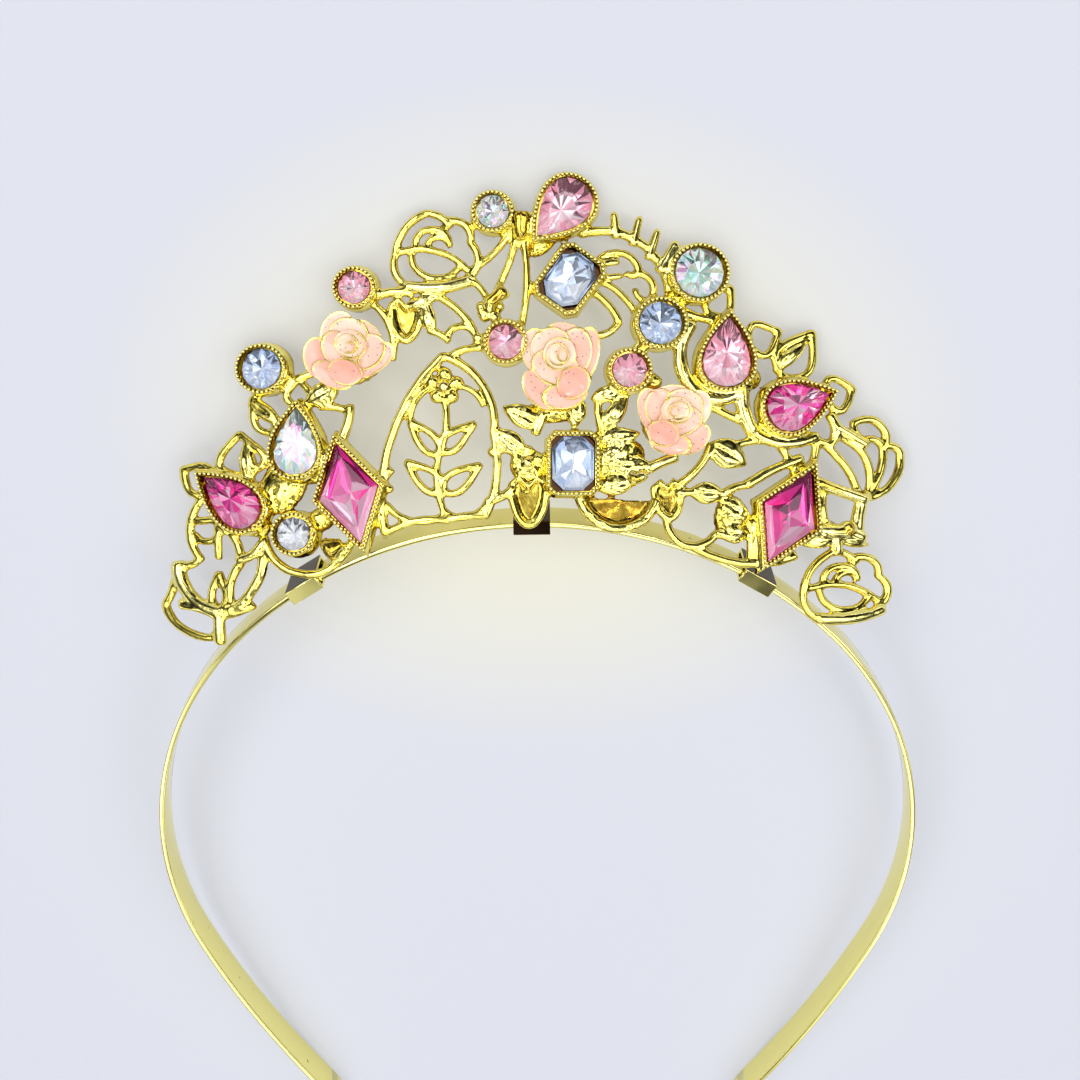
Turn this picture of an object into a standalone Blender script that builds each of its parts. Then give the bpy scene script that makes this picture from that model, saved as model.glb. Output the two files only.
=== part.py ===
"""A child's costume tiara: a flat metal headband, a pierced cast ornament with
stone cups, faceted stones, enamelled roses and three folded clips.

The ornament is drawn flat, in millimetres from the top of the headband's front
edge: x to the right, y up, z out towards the viewer. It is drawn as the eye
sees it from the front, then bowed round the head. The whole tiara is laid in
its rest pose, on its back, with the top cups and the two tips on the table."""

import math

import bmesh
import bpy
from mathutils import Matrix, Vector

MM = 0.001
GAP = 0.3

# The bow of the ornament round the head
BOW_RADIUS = 130.0
DRAWING_DISTANCE = 240.0
DRAWING_CENTRE_Y = -2.6

# The headband: three arcs a side, in a plane that leans back from the ornament
BAND_LEAN = math.radians(25)
BAND_SET_BACK = 1.4
BAND_WIDTH = 6.0
BAND_THICKNESS = 0.9
BAND_ARCS = ((66.0, 45.0), (54.6, 69.0), (180.0, 13.6))  # radius, degrees
BAND_SEGMENTS = 45
TIP_LENGTH = 3.0
TIP_END_WIDTH = 0.25  # share of the band's width where a tip ends
TIP_SECTIONS = (0.0, 0.13, 0.45)  # shares of the tip's length

# The clips: strips folded round the band, open at the inside of the head
CLIP_WIDTH = 5.6
CLIP_WALL = 0.5
CLIP_SEAM = 0.8
CLIPS = (("clip_left", -36.0), ("clip_centre", -0.8), ("clip_right", 34.0))  # name, x on the band

# The stones and their cups
CUP_WALL = 0.7
CUP_FLARE = 0.15
CUP_FLOOR = 0.8
CUP_HEIGHT = 2.6
POCKET_TOP = 5.0
CULET_HEIGHT = CUP_FLOOR + GAP
GIRDLE_HEIGHT = 2.2
GIRDLE_BAND = 0.15
TABLE_HEIGHT = 3.1
ROUND_SIDES = 14
PEAR_WIDEST = 0.77  # half width of a pear drawn with a half width of 1
CORNER_CUT = 0.27
KITE_SHARE = 0.80  # of the way from a brilliant's middle to its girdle
TABLE_SHARE = 0.56
KITE_HEIGHT = 0.62  # share of the crown's height
STEP_SHARE = 0.1  # width of a step facet as a share of the stone's width
PAVILION_STEP = 1.4
PAVILION_HEIGHT = 0.55
KEEL_SHARE = 0.12

# name, cut, colour, x, y, width, length, direction of the long axis or tip in degrees
STONES = (
    ("stone_round_opal_top", "round", "opal", -6.5, 46.3, 4.8, 4.8, 90),
    ("stone_pear_pink_top", "pear", "pink", 3.5, 46.5, 7.3, 10.3, 227),
    ("stone_octagon_blue_top", "octagon", "blue", 4.8, 36.2, 6.2, 8.0, 54),
    ("stone_round_opal_right", "round", "opal", 23.8, 37.2, 7.3, 7.3, 90),
    ("stone_round_blue_right", "round", "blue", 18.1, 29.7, 6.3, 6.3, 90),
    ("stone_round_pink_right", "round", "pink", 13.6, 22.7, 5.1, 5.1, 90),
    ("stone_round_pink_centre", "round", "pink", -4.6, 26.9, 5.1, 5.1, 90),
    ("stone_pear_pink_right", "pear", "pink", 27.9, 25.4, 7.2, 10.3, 86),
    ("stone_pear_magenta_right", "pear", "magenta", 38.4, 17.6, 7.0, 9.9, 20),
    ("stone_round_pink_left", "round", "pink", -26.8, 35.0, 4.8, 4.8, 90),
    ("stone_round_blue_left", "round", "blue", -40.4, 22.9, 6.0, 6.0, 90),
    ("stone_pear_opal_left", "pear", "opal", -35.4, 12.1, 6.6, 10.0, 88),
    ("stone_pear_magenta_left", "pear", "magenta", -45.1, 3.5, 6.3, 10.5, 141),
    ("stone_round_clear_left", "round", "clear", -35.7, -1.7, 5.0, 5.0, 90),
    ("stone_rhombus_magenta_left", "rhombus", "magenta", -27.6, 4.4, 9.1, 15.3, 104),
    ("stone_rhombus_magenta_right", "rhombus", "magenta", 37.0, 1.0, 8.6, 15.0, 64),
    ("stone_octagon_blue_centre", "octagon", "blue", 5.3, 8.8, 6.2, 8.0, 90),
)

# The enamelled roses
ROSE_BACKING = 1.2
ROSE_BACKING_INSET = 0.4
ROSE_BOTTOM = ROSE_BACKING + GAP
ROSE_EDGE_HEIGHT = 2.1
ROSE_RELIEF = 1.5
ROSE_RINGS = 5
ROSE_SECTORS = 24
# name, x, y, width, height, direction of the large petal in degrees
ROSES = (
    ("rose_left", -28.0, 25.1, 12.2, 11.0, 240),
    ("rose_centre", 3.5, 23.2, 11.8, 13.0, 300),
    ("rose_right", 20.1, 15.2, 11.2, 10.5, 230),
)

# Wires of the openwork: arcs from (x0, y0) to (x1, y1), bulging to the left by bulge
# x0, y0, x1, y1, bulge, wire diameter
STRANDS = (
    # left end, below the magenta pear
    (-50.0, 3.4, -50.1, -5.6, -1.6, 1.3),
    (-51.6, 0.2, -47.0, 0.4, 0.0, 1.2),
    (-50.9, -1.8, -47.2, -0.2, -1.8, 1.2),
    (-47.6, -0.6, -47.4, -5.3, 0.0, 1.2),
    (-46.8, -0.8, -44.1, -6.1, 0.9, 1.3),
    (-44.1, -6.1, -45.5, -12.6, -0.8, 1.3),
    (-44.3, -5.6, -40.6, -2.8, -0.6, 1.6),
    # flower at the far left
    (-53.3, -6.2, -55.4, -12.2, 0.4, 1.3),
    (-50.2, -5.4, -53.4, -6.3, 0.6, 1.3),
    (-55.4, -12.2, -48.6, -17.2, -1.4, 1.3),
    (-48.6, -17.2, -47.2, -13.4, -0.6, 1.2),
    (-53.3, -6.2, -47.2, -13.4, -1.5, 2.0),
    (-52.8, -12.2, -47.6, -13.8, 0.4, 1.7),
    (-47.2, -13.4, -40.8, -5.2, -1.9, 1.5),
    (-46.8, -14.0, -42.3, -12.4, -0.2, 1.3),
    (-47.3, -13.4, -47.1, -17.9, 0.0, 1.7),
    # scroll under the clear stone, and the bars by the left stones
    (-40.6, -2.4, -27.9, -3.1, -5.0, 1.4),
    (-42.6, 17.8, -38.2, 15.2, -0.6, 1.3),
    (-32.2, 17.3, -27.6, 16.4, 0.4, 1.3),
    (-27.8, 17.4, -29.6, 11.4, 0.5, 1.5),
    (-36.6, 20.8, -32.8, 22.4, 0.3, 1.3),
    # from the left rose and the pink stone to the wire rose
    (-24.6, 33.6, -18.8, 34.4, 0.5, 1.5),
    (-24.2, 32.5, -21.6, 24.5, 1.3, 1.3),
    (-13.4, 27.2, -9.0, 27.0, 2.3, 1.2),
    (-16.2, 28.6, -13.2, 27.2, 0.3, 1.3),
    (-15.6, 34.2, -9.3, 28.6, 0.8, 1.3),
    (-9.2, 27.6, -7.0, 27.2, 0.2, 1.4),
    # fan of stems below the two top cups
    (-3.6, 44.0, -10.2, 37.6, 0.7, 1.2),
    (-3.0, 43.6, -6.0, 34.8, 0.5, 1.2),
    (-2.2, 43.2, -2.3, 29.0, 0.7, 1.2),
    (-8.6, 31.4, -5.4, 29.4, 0.5, 1.3),
    (-10.0, 36.6, -7.6, 33.8, 0.2, 1.2),
    # arch with a leafy stem
    (-22.6, -1.6, -14.0, 25.0, 3.6, 1.4),
    (-14.0, 25.0, -6.4, 13.2, 2.6, 1.4),
    (-6.4, 13.2, -7.6, 1.0, 1.0, 1.4),
    (-13.4, 0.4, -14.6, 10.2, 0.8, 1.2),
    (-14.6, 10.2, -13.8, 18.4, -0.7, 1.2),
    (-22.3, 2.6, -13.3, 1.6, -2.0, 1.2),
    (-13.4, 1.4, -7.4, 3.0, -1.4, 1.2),
    (-24.6, 6.4, -21.8, 5.0, 0.0, 1.3),
    (-24.4, 2.2, -21.6, 7.8, 0.5, 1.2),
    (-22.6, -1.6, -13.4, 0.4, 0.8, 1.3),
    (-13.4, 0.4, -7.6, 1.0, 0.3, 1.3),
    (-18.9, 15.2, -16.0, 20.2, 0.8, 1.1),
    (-11.4, 20.4, -8.0, 17.6, 0.6, 1.1),
    (-7.0, 10.4, -3.6, 10.6, 0.4, 1.3),
    (-7.4, 3.2, -3.6, 5.2, -0.4, 1.4),
    (-12.6, 25.0, -7.4, 26.0, 0.6, 1.3),
    # twig and tendrils between the top cups and the large opal
    (6.6, 43.2, 19.6, 34.6, 3.7, 1.5),
    (8.6, 38.4, 15.2, 38.0, 2.2, 1.2),
    (15.2, 38.0, 13.4, 37.4, 0.8, 1.1),
    (14.7, 37.4, 16.6, 33.2, 1.5, 1.2),
    (16.6, 33.2, 14.6, 34.8, 0.6, 1.1),
    (8.2, 36.4, 14.6, 31.2, 1.0, 1.2),
    (8.4, 34.4, 12.2, 30.0, 0.5, 1.3),
    (12.2, 30.0, 6.2, 28.9, 1.5, 1.3),
    # right side, round the two pears
    (20.6, 32.4, 26.0, 30.4, -0.4, 1.4),
    (14.9, 25.6, 16.4, 27.2, 0.0, 2.4),
    (22.8, 29.6, 23.2, 19.8, -1.9, 2.2),
    (23.2, 19.8, 31.4, 21.6, -2.2, 2.2),
    (31.6, 23.4, 31.8, 13.8, -1.4, 2.2),
    (31.8, 13.8, 41.4, 13.0, -1.6, 1.8),
    (25.2, 17.6, 34.6, 12.6, 0.3, 1.4),
    (27.4, 11.0, 35.2, 12.2, 0.5, 1.3),
    (35.2, 12.2, 38.4, 7.6, 0.3, 1.3),
    (41.6, 12.8, 40.6, 7.6, 0.2, 1.3),
    (43.6, 16.0, 43.4, 11.4, 0.9, 1.5),
    (43.4, 11.8, 40.9, 12.9, 0.2, 1.3),
    # lower edge on the right
    (19.4, 0.4, 26.4, -1.8, -2.8, 1.4),
    (23.1, -3.6, 38.4, -5.0, -1.8, 1.4),
    (31.8, 0.0, 31.9, -5.6, 0.0, 1.3),
    (21.6, 6.0, 25.8, 11.6, -0.6, 1.4),
    (31.2, 5.8, 39.2, 9.6, 0.2, 1.6),
    (26.6, -1.6, 29.2, -2.4, 0.2, 1.5),
    (16.6, 8.0, 20.6, 9.8, 0.2, 1.8),
    (21.0, 4.4, 23.6, 4.6, 0.0, 1.4),
    (27.6, 4.2, 31.8, 5.8, 0.3, 1.4),
    # centre cluster
    (9.2, 18.6, 9.7, 13.4, -0.3, 1.3),
    (6.3, 3.9, 17.8, 3.2, -4.4, 1.6),
    (11.4, 17.4, 13.0, 19.8, 0.0, 1.2),
    (1.2, 16.9, -0.2, 13.4, 0.0, 1.6),
    # below the right side rose
    (42.8, 4.6, 43.6, -0.8, -0.8, 1.3),
    (41.0, -1.6, 48.2, -2.2, 0.6, 2.2),
    (44.2, -2.0, 44.6, -4.6, 0.0, 1.6),
)

# Leaves: base x, base y, tip x, tip y, width, kind. A loop is a wire outline, a blade is solid
LEAVES = (
    (-43.6, 7.0, -44.4, 13.2, 6.8, "loop"),
    (-42.6, 6.0, -43.4, 12.2, 2.4, "blade"),
    (-48.6, 5.4, -52.8, 8.0, 4.6, "loop"),
    (-39.4, 13.4, -42.4, 18.6, 3.0, "loop"),
    (-35.4, 17.4, -35.6, 21.6, 3.6, "loop"),
    (-47.3, -13.0, -47.4, -7.6, 2.2, "loop"),
    (-29.6, 20.4, -34.6, 17.6, 3.6, "blade"),
    (-15.6, 28.0, -16.6, 33.6, 2.2, "blade"),
    (-19.4, 32.0, -14.0, 34.2, 1.8, "blade"),
    (-13.9, 4.6, -19.4, 9.0, 3.0, "loop"),
    (-14.0, 4.6, -8.6, 8.6, 3.0, "loop"),
    (-14.6, 10.2, -18.9, 15.2, 2.6, "loop"),
    (-14.5, 10.6, -9.4, 14.8, 2.6, "loop"),
    (0.6, 14.6, -5.2, 17.4, 3.6, "blade"),
    (-1.6, 10.6, -6.6, 14.0, 3.2, "blade"),
    (6.4, 18.8, 5.4, 14.0, 3.0, "blade"),
    (8.0, 18.4, 13.0, 20.2, 2.6, "blade"),
    (9.7, 14.0, 13.6, 18.8, 2.8, "blade"),
    (9.2, 12.2, 15.4, 13.4, 3.0, "blade"),
    (9.2, 8.6, 14.4, 12.0, 3.2, "blade"),
    (10.0, 8.4, 17.2, 8.8, 3.2, "blade"),
    (9.0, 5.0, 15.0, 6.2, 3.0, "blade"),
    (25.6, 31.4, 28.8, 35.0, 4.6, "loop"),
    (31.6, 26.6, 36.0, 28.6, 5.0, "loop"),
    (36.6, 21.8, 41.0, 28.4, 5.6, "loop"),
    (35.2, 22.6, 40.4, 27.4, 2.0, "blade"),
    (43.0, 18.6, 47.0, 20.0, 5.2, "loop"),
    (25.6, 11.8, 31.2, 8.6, 4.6, "blade"),
    (22.6, 4.6, 28.2, 4.2, 3.4, "blade"),
    (27.2, 3.2, 31.8, 0.2, 3.4, "blade"),
    (27.4, -1.6, 31.6, -1.8, 3.0, "blade"),
    (44.6, -2.0, 39.4, -3.4, 2.4, "blade"),
    (44.0, -1.6, 49.4, -3.4, 2.4, "blade"),
)

# Twig nubs, prongs and round knobs: x0, y0, x1, y1, diameter at the end
PRONGS = (
    (11.7, 43.2, 11.5, 46.1, 1.3),
    (14.4, 42.2, 15.2, 45.4, 1.3),
    (16.8, 40.2, 17.8, 43.5, 1.3),
    (18.6, 38.2, 20.4, 41.5, 1.7),
    (9.0, 38.6, 11.9, 39.0, 1.1),
    (9.4, 36.6, 12.4, 36.9, 1.1),
    (44.9, 14.0, 48.8, 11.6, 1.3),
    (42.2, 5.6, 48.4, 3.4, 1.8),
    (-2.4, 45.2, -2.4, 43.2, 2.4),
    (-30.2, -3.7, -29.6, -3.4, 2.7),
    (-5.4, 34.2, -7.2, 32.6, 2.0),
    (14.4, 6.6, 15.8, 7.0, 1.8),
    (46.0, -0.9, 46.4, -0.9, 2.0),
)

# Tulip buds: x and y of the mouth's middle, width, height, turn in degrees
BUDS = (
    (-19.5, 32.4, 4.4, 5.2, 0),
    (-1.2, 5.6, 5.4, 6.0, 0),
    (19.4, 5.2, 4.2, 4.6, 4),
)

# Wire roses seen from the front: x, y, half width, half height, turn in degrees
WIRE_ROSES = (
    (-15.2, 40.6, 6.3, 5.8, 0),
    (45.6, -9.4, 6.3, 5.2, 4),
)
# Arcs of such a rose in a box from -1 to 1: x0, y0, x1, y1, bulge, wire diameter
WIRE_ROSE_ARCS = (
    (-0.62, -0.92, -0.94, -0.10, 0.16, 1.3),
    (-0.94, -0.10, -0.20, 0.98, 0.18, 1.3),
    (-0.20, 0.98, 0.34, 0.64, 0.10, 1.3),
    (0.20, 0.76, 0.84, 0.22, 0.26, 1.3),
    (0.84, 0.22, 0.76, -0.70, 0.22, 1.3),
    (-0.90, -0.05, 0.80, -0.52, 0.30, 1.2),
    (-0.46, 0.12, 0.34, 0.14, 0.44, 1.2),
    (0.34, 0.14, -0.18, 0.06, -0.26, 1.1),
    (-0.56, -0.10, 0.56, -0.42, -0.44, 1.2),
    (-0.66, -0.90, 0.84, -0.76, -0.12, 1.9),
)

# Wire roses seen from the side: x and y of the base, height, turn in degrees
SIDE_ROSES = ((48.6, 3.4, 12.4, 0),)
# Arcs of such a rose, its height being 1: x0, y0, x1, y1, bulge, wire diameter
SIDE_ROSE_ARCS = (
    (-0.12, 0.92, 0.24, 0.60, 0.20, 1.3),
    (0.24, 0.64, 0.44, 0.50, 0.08, 1.3),
    (0.44, 0.52, 0.04, 0.02, 0.12, 1.3),
    (-0.36, 0.78, 0.04, 0.04, 0.20, 1.3),
    (-0.46, 0.66, -0.04, 0.02, 0.06, 1.3),
    (-0.12, 0.92, 0.02, 0.70, -0.04, 1.2),
    (0.02, 0.72, 0.24, 0.60, 0.06, 1.2),
    (0.24, 0.60, 0.03, 0.04, 0.05, 1.3),
    (0.00, 0.05, -0.08, -0.42, -0.04, 1.9),
)

# Solid webs between the cups: x, y, radius x, radius y, turn in degrees
WEBS = (
    (-38.0, 5.4, 4.6, 3.4, 60),
    (-32.4, 0.4, 2.6, 1.8, 20),
    (-34.6, 8.0, 5.0, 2.4, 0),
    (-41.4, -0.6, 2.0, 1.6, 30),
    (-1.4, 8.6, 2.8, 2.6, 0),
    (1.6, 16.4, 5.0, 1.6, 0),
    (11.8, 9.4, 4.6, 3.2, 20),
    (16.6, 21.0, 2.2, 1.6, 0),
    (21.0, 33.4, 2.0, 1.4, 45),
    (31.6, 21.6, 1.9, 1.9, 0),
    (29.0, 0.6, 2.6, 3.6, 0),
    (42.2, -0.8, 2.6, 1.6, 0),
    (1.0, 41.6, 2.6, 1.2, 40),
)
DISH = (6.3, 3.9, 17.8, 3.2, -4.4)  # x0, y0, x1, y1, bulge of the half-round dish

# Small flowers of round petals: x, y, distance of the petals, petals, petal diameter
FLOWERS = (
    (-13.8, 20.4, 1.9, 5, 2.2),
    (-7.0, 31.9, 1.4, 5, 1.7),
    (-1.4, 9.0, 1.7, 5, 2.0),
)

WIRE_SIDES = 5
WIRE_SEAT = math.cos(math.pi / WIRE_SIDES)  # height of a wire's axis, in radii
WIRE_OVERRUN = 0.3
LEAF_WIRE = 1.3
LEAF_STEPS = 4
BUD_WIRE = 1.2
PRONG_START = 0.75
PLATE = (0.1, 0.8)  # bottom and top of the plates in the buds and the dish
PETAL_TOP = 1.25
FLOWER_HEART_TOP = 1.6
FLOWER_HEART_SHARE = 0.62
CAST_STEP = 0.017
CAST_LEVELS = 9
KEPT_TRIANGLES = 0.62
ARC_STEP = math.radians(50)
WEB_HEIGHT = 1.1
BLADE_EDGE = 0.9
BLADE_RIDGE = 1.7


# Flat drawing


def turned(points, degrees, x=0.0, y=0.0):
    """Points turned about the origin and moved to (x, y)."""
    c = math.cos(math.radians(degrees))
    s = math.sin(math.radians(degrees))
    return [(x + px * c - py * s, y + px * s + py * c) for px, py in points]


def arc(x0, y0, x1, y1, bulge, step=ARC_STEP):
    """Points of an arc whose middle lies bulge to the left of its chord."""
    chord = math.hypot(x1 - x0, y1 - y0)
    if abs(bulge) < 0.02 * chord:
        return [(x0, y0), (x1, y1)]
    radius = (chord * chord / 4 + bulge * bulge) / (2 * bulge)
    sweep = 4 * math.atan(2 * bulge / chord)
    left = (-(y1 - y0) / chord, (x1 - x0) / chord)
    cx = (x0 + x1) / 2 + left[0] * (bulge - radius)
    cy = (y0 + y1) / 2 + left[1] * (bulge - radius)
    count = max(2, math.ceil(abs(sweep) / step))
    start = math.atan2(y0 - cy, x0 - cx)
    size = abs(radius)
    angles = [start - sweep * i / count for i in range(count + 1)]
    return [(cx + size * math.cos(a), cy + size * math.sin(a)) for a in angles]


def stone_outline(cut, width, length):
    """Outline of a stone, anticlockwise, with its long axis or tip along +y."""
    if cut == "round":
        angles = [math.tau * i / ROUND_SIDES for i in range(ROUND_SIDES)]
        return [(-width / 2 * math.sin(a), width / 2 * math.cos(a)) for a in angles]
    if cut == "pear":
        angles = [math.tau * i / ROUND_SIDES for i in range(ROUND_SIDES)]
        return [
            (-width / 2 / PEAR_WIDEST * math.sin(a) * abs(math.sin(a / 2)), length / 2 * math.cos(a))
            for a in angles
        ]
    if cut == "octagon":
        x, y, c = width / 2, length / 2, width * CORNER_CUT
        corners = [(x - c, y), (-x + c, y), (-x, y - c), (-x, -y + c)]
        return corners + [(-px, -py) for px, py in corners]
    return [(0, length / 2), (-width / 2, 0), (0, -length / 2), (width / 2, 0)]


def grown(points, distance):
    """An anticlockwise convex outline moved outwards by distance."""
    result = []
    count = len(points)
    for i, here in enumerate(points):
        before, after = Vector(points[i - 1]), Vector(points[(i + 1) % count])
        here = Vector(here)
        first = (here - before).normalized()
        second = (after - here).normalized()
        outward = Vector((first.y + second.y, -first.x - second.x)).normalized()
        miter = outward.dot(Vector((first.y, -first.x)))
        result.append(tuple(here + outward * distance / miter))
    return result


# Closed shells: each function returns the points and faces of one


def lofted(rings, bottom_tip=None):
    """Rings of equal count joined by quads and closed with a face at each end."""
    count = len(rings[0])
    points = [point for ring in rings for point in ring]
    faces = []
    for level in range(len(rings) - 1):
        low, high = level * count, (level + 1) * count
        for i in range(count):
            j = (i + 1) % count
            faces.append((low + i, low + j, high + j, high + i))
    top = (len(rings) - 1) * count
    faces.append(tuple(range(top, top + count)))
    if bottom_tip is None:
        faces.append(tuple(reversed(range(count))))
    else:
        points.append(bottom_tip)
        faces += [((i + 1) % count, i, len(points) - 1) for i in range(count)]
    return points, faces


def raised(shell, height):
    points, faces = shell
    return [(x, y, z + height) for x, y, z in points], faces


def prism(outline, low, high):
    return lofted([[(x, y, z) for x, y in outline] for z in (low, high)])


def wire(points, diameter, end_diameter=None):
    """A round wire on the ornament's back plane, through flat points and a little past them."""
    count = len(points)
    first, second, last, before_last = (Vector(points[i]) for i in (0, 1, -1, -2))
    points = [tuple(first + (first - second).normalized() * WIRE_OVERRUN * diameter),
              *points[1:-1],
              tuple(last + (last - before_last).normalized() * WIRE_OVERRUN * diameter)]
    rings = []
    for i, (x, y) in enumerate(points):
        before = Vector(points[max(i - 1, 0)])
        after = Vector(points[min(i + 1, count - 1)])
        along = (after - before).normalized()
        share = i / (count - 1)
        radius = (diameter + (share * (end_diameter - diameter) if end_diameter else 0)) / 2
        ring = []
        for side in range(WIRE_SIDES):
            angle = math.tau * (side + 0.5) / WIRE_SIDES - math.pi / 2
            across = radius * math.cos(angle)
            ring.append((x - along.y * across, y + along.x * across, radius * (WIRE_SEAT + math.sin(angle))))
        rings.append(ring)
    points, faces = lofted(rings)
    return points, [tuple(reversed(face)) for face in faces]


def blade(x0, y0, x1, y1, width):
    """A solid pointed leaf with a raised middle rib."""
    left = arc(x0, y0, x1, y1, width / 2)
    right = arc(x0, y0, x1, y1, -width / 2)
    count = len(left)
    outline = right + left[-2:0:-1]
    points = [(x, y, 0.0) for x, y in outline] + [(x, y, BLADE_EDGE) for x, y in outline]
    edge = len(outline)
    ridge = [((a[0] + b[0]) / 2, (a[1] + b[1]) / 2, BLADE_RIDGE) for a, b in zip(left, right)][1:-1]
    top = len(points)
    points += ridge
    faces = [tuple(reversed(range(edge)))]
    faces += [(i, (i + 1) % edge, edge + (i + 1) % edge, edge + i) for i in range(edge)]
    low = [edge + i for i in range(count)]
    high = [edge] + [2 * edge - i for i in range(1, count - 1)] + [edge + count - 1]
    middle = [edge] + [top + i for i in range(len(ridge))] + [edge + count - 1]
    for i in range(count - 1):
        faces.append(tuple(dict.fromkeys((low[i], low[i + 1], middle[i + 1], middle[i]))))
        faces.append(tuple(dict.fromkeys((middle[i], middle[i + 1], high[i + 1], high[i]))))
    return points, faces


def leaf_side(x0, y0, x1, y1, half_width):
    """Points from a leaf's base to its pointed tip, widest near the base."""
    points = []
    for i in range(LEAF_STEPS + 1):
        along = i / LEAF_STEPS
        out = half_width * math.sin(math.pi * along ** 0.75) * (1.12 - 0.32 * along)
        across = out / math.hypot(x1 - x0, y1 - y0)
        points.append((x0 + (x1 - x0) * along - (y1 - y0) * across,
                       y0 + (y1 - y0) * along + (x1 - x0) * across))
    return points


def leaf(x0, y0, x1, y1, width, kind):
    if kind == "blade":
        return [blade(x0, y0, x1, y1, width)]
    sides = [leaf_side(x0, y0, x1, y1, half) for half in (width / 2, -width / 2)]
    return [wire(side, LEAF_WIRE) for side in sides]


def bud(x, y, width, height, turn):
    """A tulip bud: a deep cup outline, a zigzag mouth and a thin back."""
    half = width / 2
    cup = [(half * math.cos(a), height * math.sin(a)) for a in [-math.pi * i / 6 for i in range(7)]]
    mouth = [(-half, 0), (-half / 2, 0.2 * height), (0, -0.04 * height), (half / 2, 0.2 * height), (half, 0)]
    back = prism(turned(cup[::-1], turn, x, y), *PLATE)
    return [wire(turned(line, turn, x, y), BUD_WIRE) for line in (cup, mouth)] + [back]


def wire_rose(x, y, half_width, half_height, turn):
    shells = []
    for x0, y0, x1, y1, bulge, diameter in WIRE_ROSE_ARCS:
        line = arc(x0, y0, x1, y1, bulge)
        scaled = [(px * half_width, py * half_height) for px, py in line]
        shells.append(wire(turned(scaled, turn, x, y), diameter))
    return shells


def side_rose(x, y, height, turn):
    shells = []
    for x0, y0, x1, y1, bulge, diameter in SIDE_ROSE_ARCS:
        scaled = [(px * height, py * height) for px, py in arc(x0, y0, x1, y1, bulge)]
        shells.append(wire(turned(scaled, turn, x, y), diameter))
    return shells


def oval(x, y, radius_x, radius_y, turn, sides):
    angles = [math.tau * (i + 0.5) / sides for i in range(sides)]
    return turned([(radius_x * math.cos(a), radius_y * math.sin(a)) for a in angles], turn, x, y)


def flower(x, y, distance, petals, diameter):
    """A ball with round petals about it."""
    heart = FLOWER_HEART_SHARE * distance
    shells = [prism(oval(x, y, heart, heart, 0, 8), 0.0, FLOWER_HEART_TOP)]
    for i in range(petals):
        angle = math.tau * i / petals + 0.3
        px, py = x + distance * math.cos(angle), y + distance * math.sin(angle)
        shells.append(prism(oval(px, py, diameter / 2, diameter / 2, 20 * i, 7), 0.0, PETAL_TOP))
    return shells


def rose_outline(width, height, direction, grow=0.0):
    """Scalloped outline of an enamelled rose."""
    points = []
    for i in range(ROSE_SECTORS):
        angle = math.tau * i / ROSE_SECTORS
        scallop = 1 - 0.055 * (1 + math.cos(6 * (angle - math.radians(direction)) + math.pi))
        points.append(((width / 2 + grow) * scallop * math.cos(angle),
                       (height / 2 + grow) * scallop * math.sin(angle)))
    return points


# The ornament's two Boolean sets, drawn flat


def openwork_shells():
    shells = []
    for _, cut, _, x, y, width, length, turn in STONES:
        outline = turned(stone_outline(cut, width, length), turn - 90, x, y)
        foot = grown(outline, GAP + CUP_WALL + CUP_FLARE)
        rim = grown(outline, GAP + CUP_WALL)
        shells.append(lofted([[(px, py, 0.0) for px, py in foot],
                              [(px, py, CUP_HEIGHT) for px, py in rim]]))
    for _, x, y, width, height, direction in ROSES:
        outline = rose_outline(width, height, direction, -ROSE_BACKING_INSET)
        shells.append(prism(turned(outline, 0, x, y), 0.0, ROSE_BACKING))
    for x0, y0, x1, y1, bulge, diameter in STRANDS:
        shells.append(wire(arc(x0, y0, x1, y1, bulge), diameter))
    for row in LEAVES:
        shells += leaf(*row)
    for x0, y0, x1, y1, diameter in PRONGS:
        shells.append(wire([(x0, y0), (x1, y1)], diameter * PRONG_START, diameter))
    for row in BUDS:
        shells += bud(*row)
    for row in WIRE_ROSES:
        shells += wire_rose(*row)
    for row in SIDE_ROSES:
        shells += side_rose(*row)
    for x, y, radius_x, radius_y, turn in WEBS:
        shells.append(prism(oval(x, y, radius_x, radius_y, turn, 10), 0.0, WEB_HEIGHT))
    for row in FLOWERS:
        shells += flower(*row)
    shells.append(prism(arc(*DISH), *PLATE))
    # The casting's back isn't quite level, so no two shells share a plane
    return [raised(shell, CAST_STEP * (i % CAST_LEVELS)) for i, shell in enumerate(shells)]


def pocket_shells():
    """What is cut from the cups and above the rose backings, so stones and roses fit."""
    shells = []
    for _, cut, _, x, y, width, length, turn in STONES:
        outline = turned(stone_outline(cut, width, length), turn - 90, x, y)
        shells.append(prism(grown(outline, GAP), CUP_FLOOR, POCKET_TOP))
    for _, x, y, width, height, direction in ROSES:
        outline = rose_outline(width, height, direction, GAP)
        shells.append(prism(turned(outline, 0, x, y), ROSE_BACKING, POCKET_TOP))
    return shells


# The bow


def bow_at(x):
    """Angle, depth and growth of the bow at a drawn x."""
    growth = 1.0
    for _ in range(6):
        angle = math.asin(x * growth / BOW_RADIUS)
        depth = BOW_RADIUS * (1 - math.cos(angle))
        growth = 1 + depth / DRAWING_DISTANCE
    return angle, depth, growth


def bowed(x, y, z):
    """Place on the bowed ornament of a drawn point, in millimetres."""
    angle, depth, growth = bow_at(x)
    drawn_y = DRAWING_CENTRE_Y + (y - DRAWING_CENTRE_Y) * growth
    return Vector((x * growth + z * math.sin(angle), drawn_y, z * math.cos(angle) - depth))


# Meshes and objects


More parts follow.
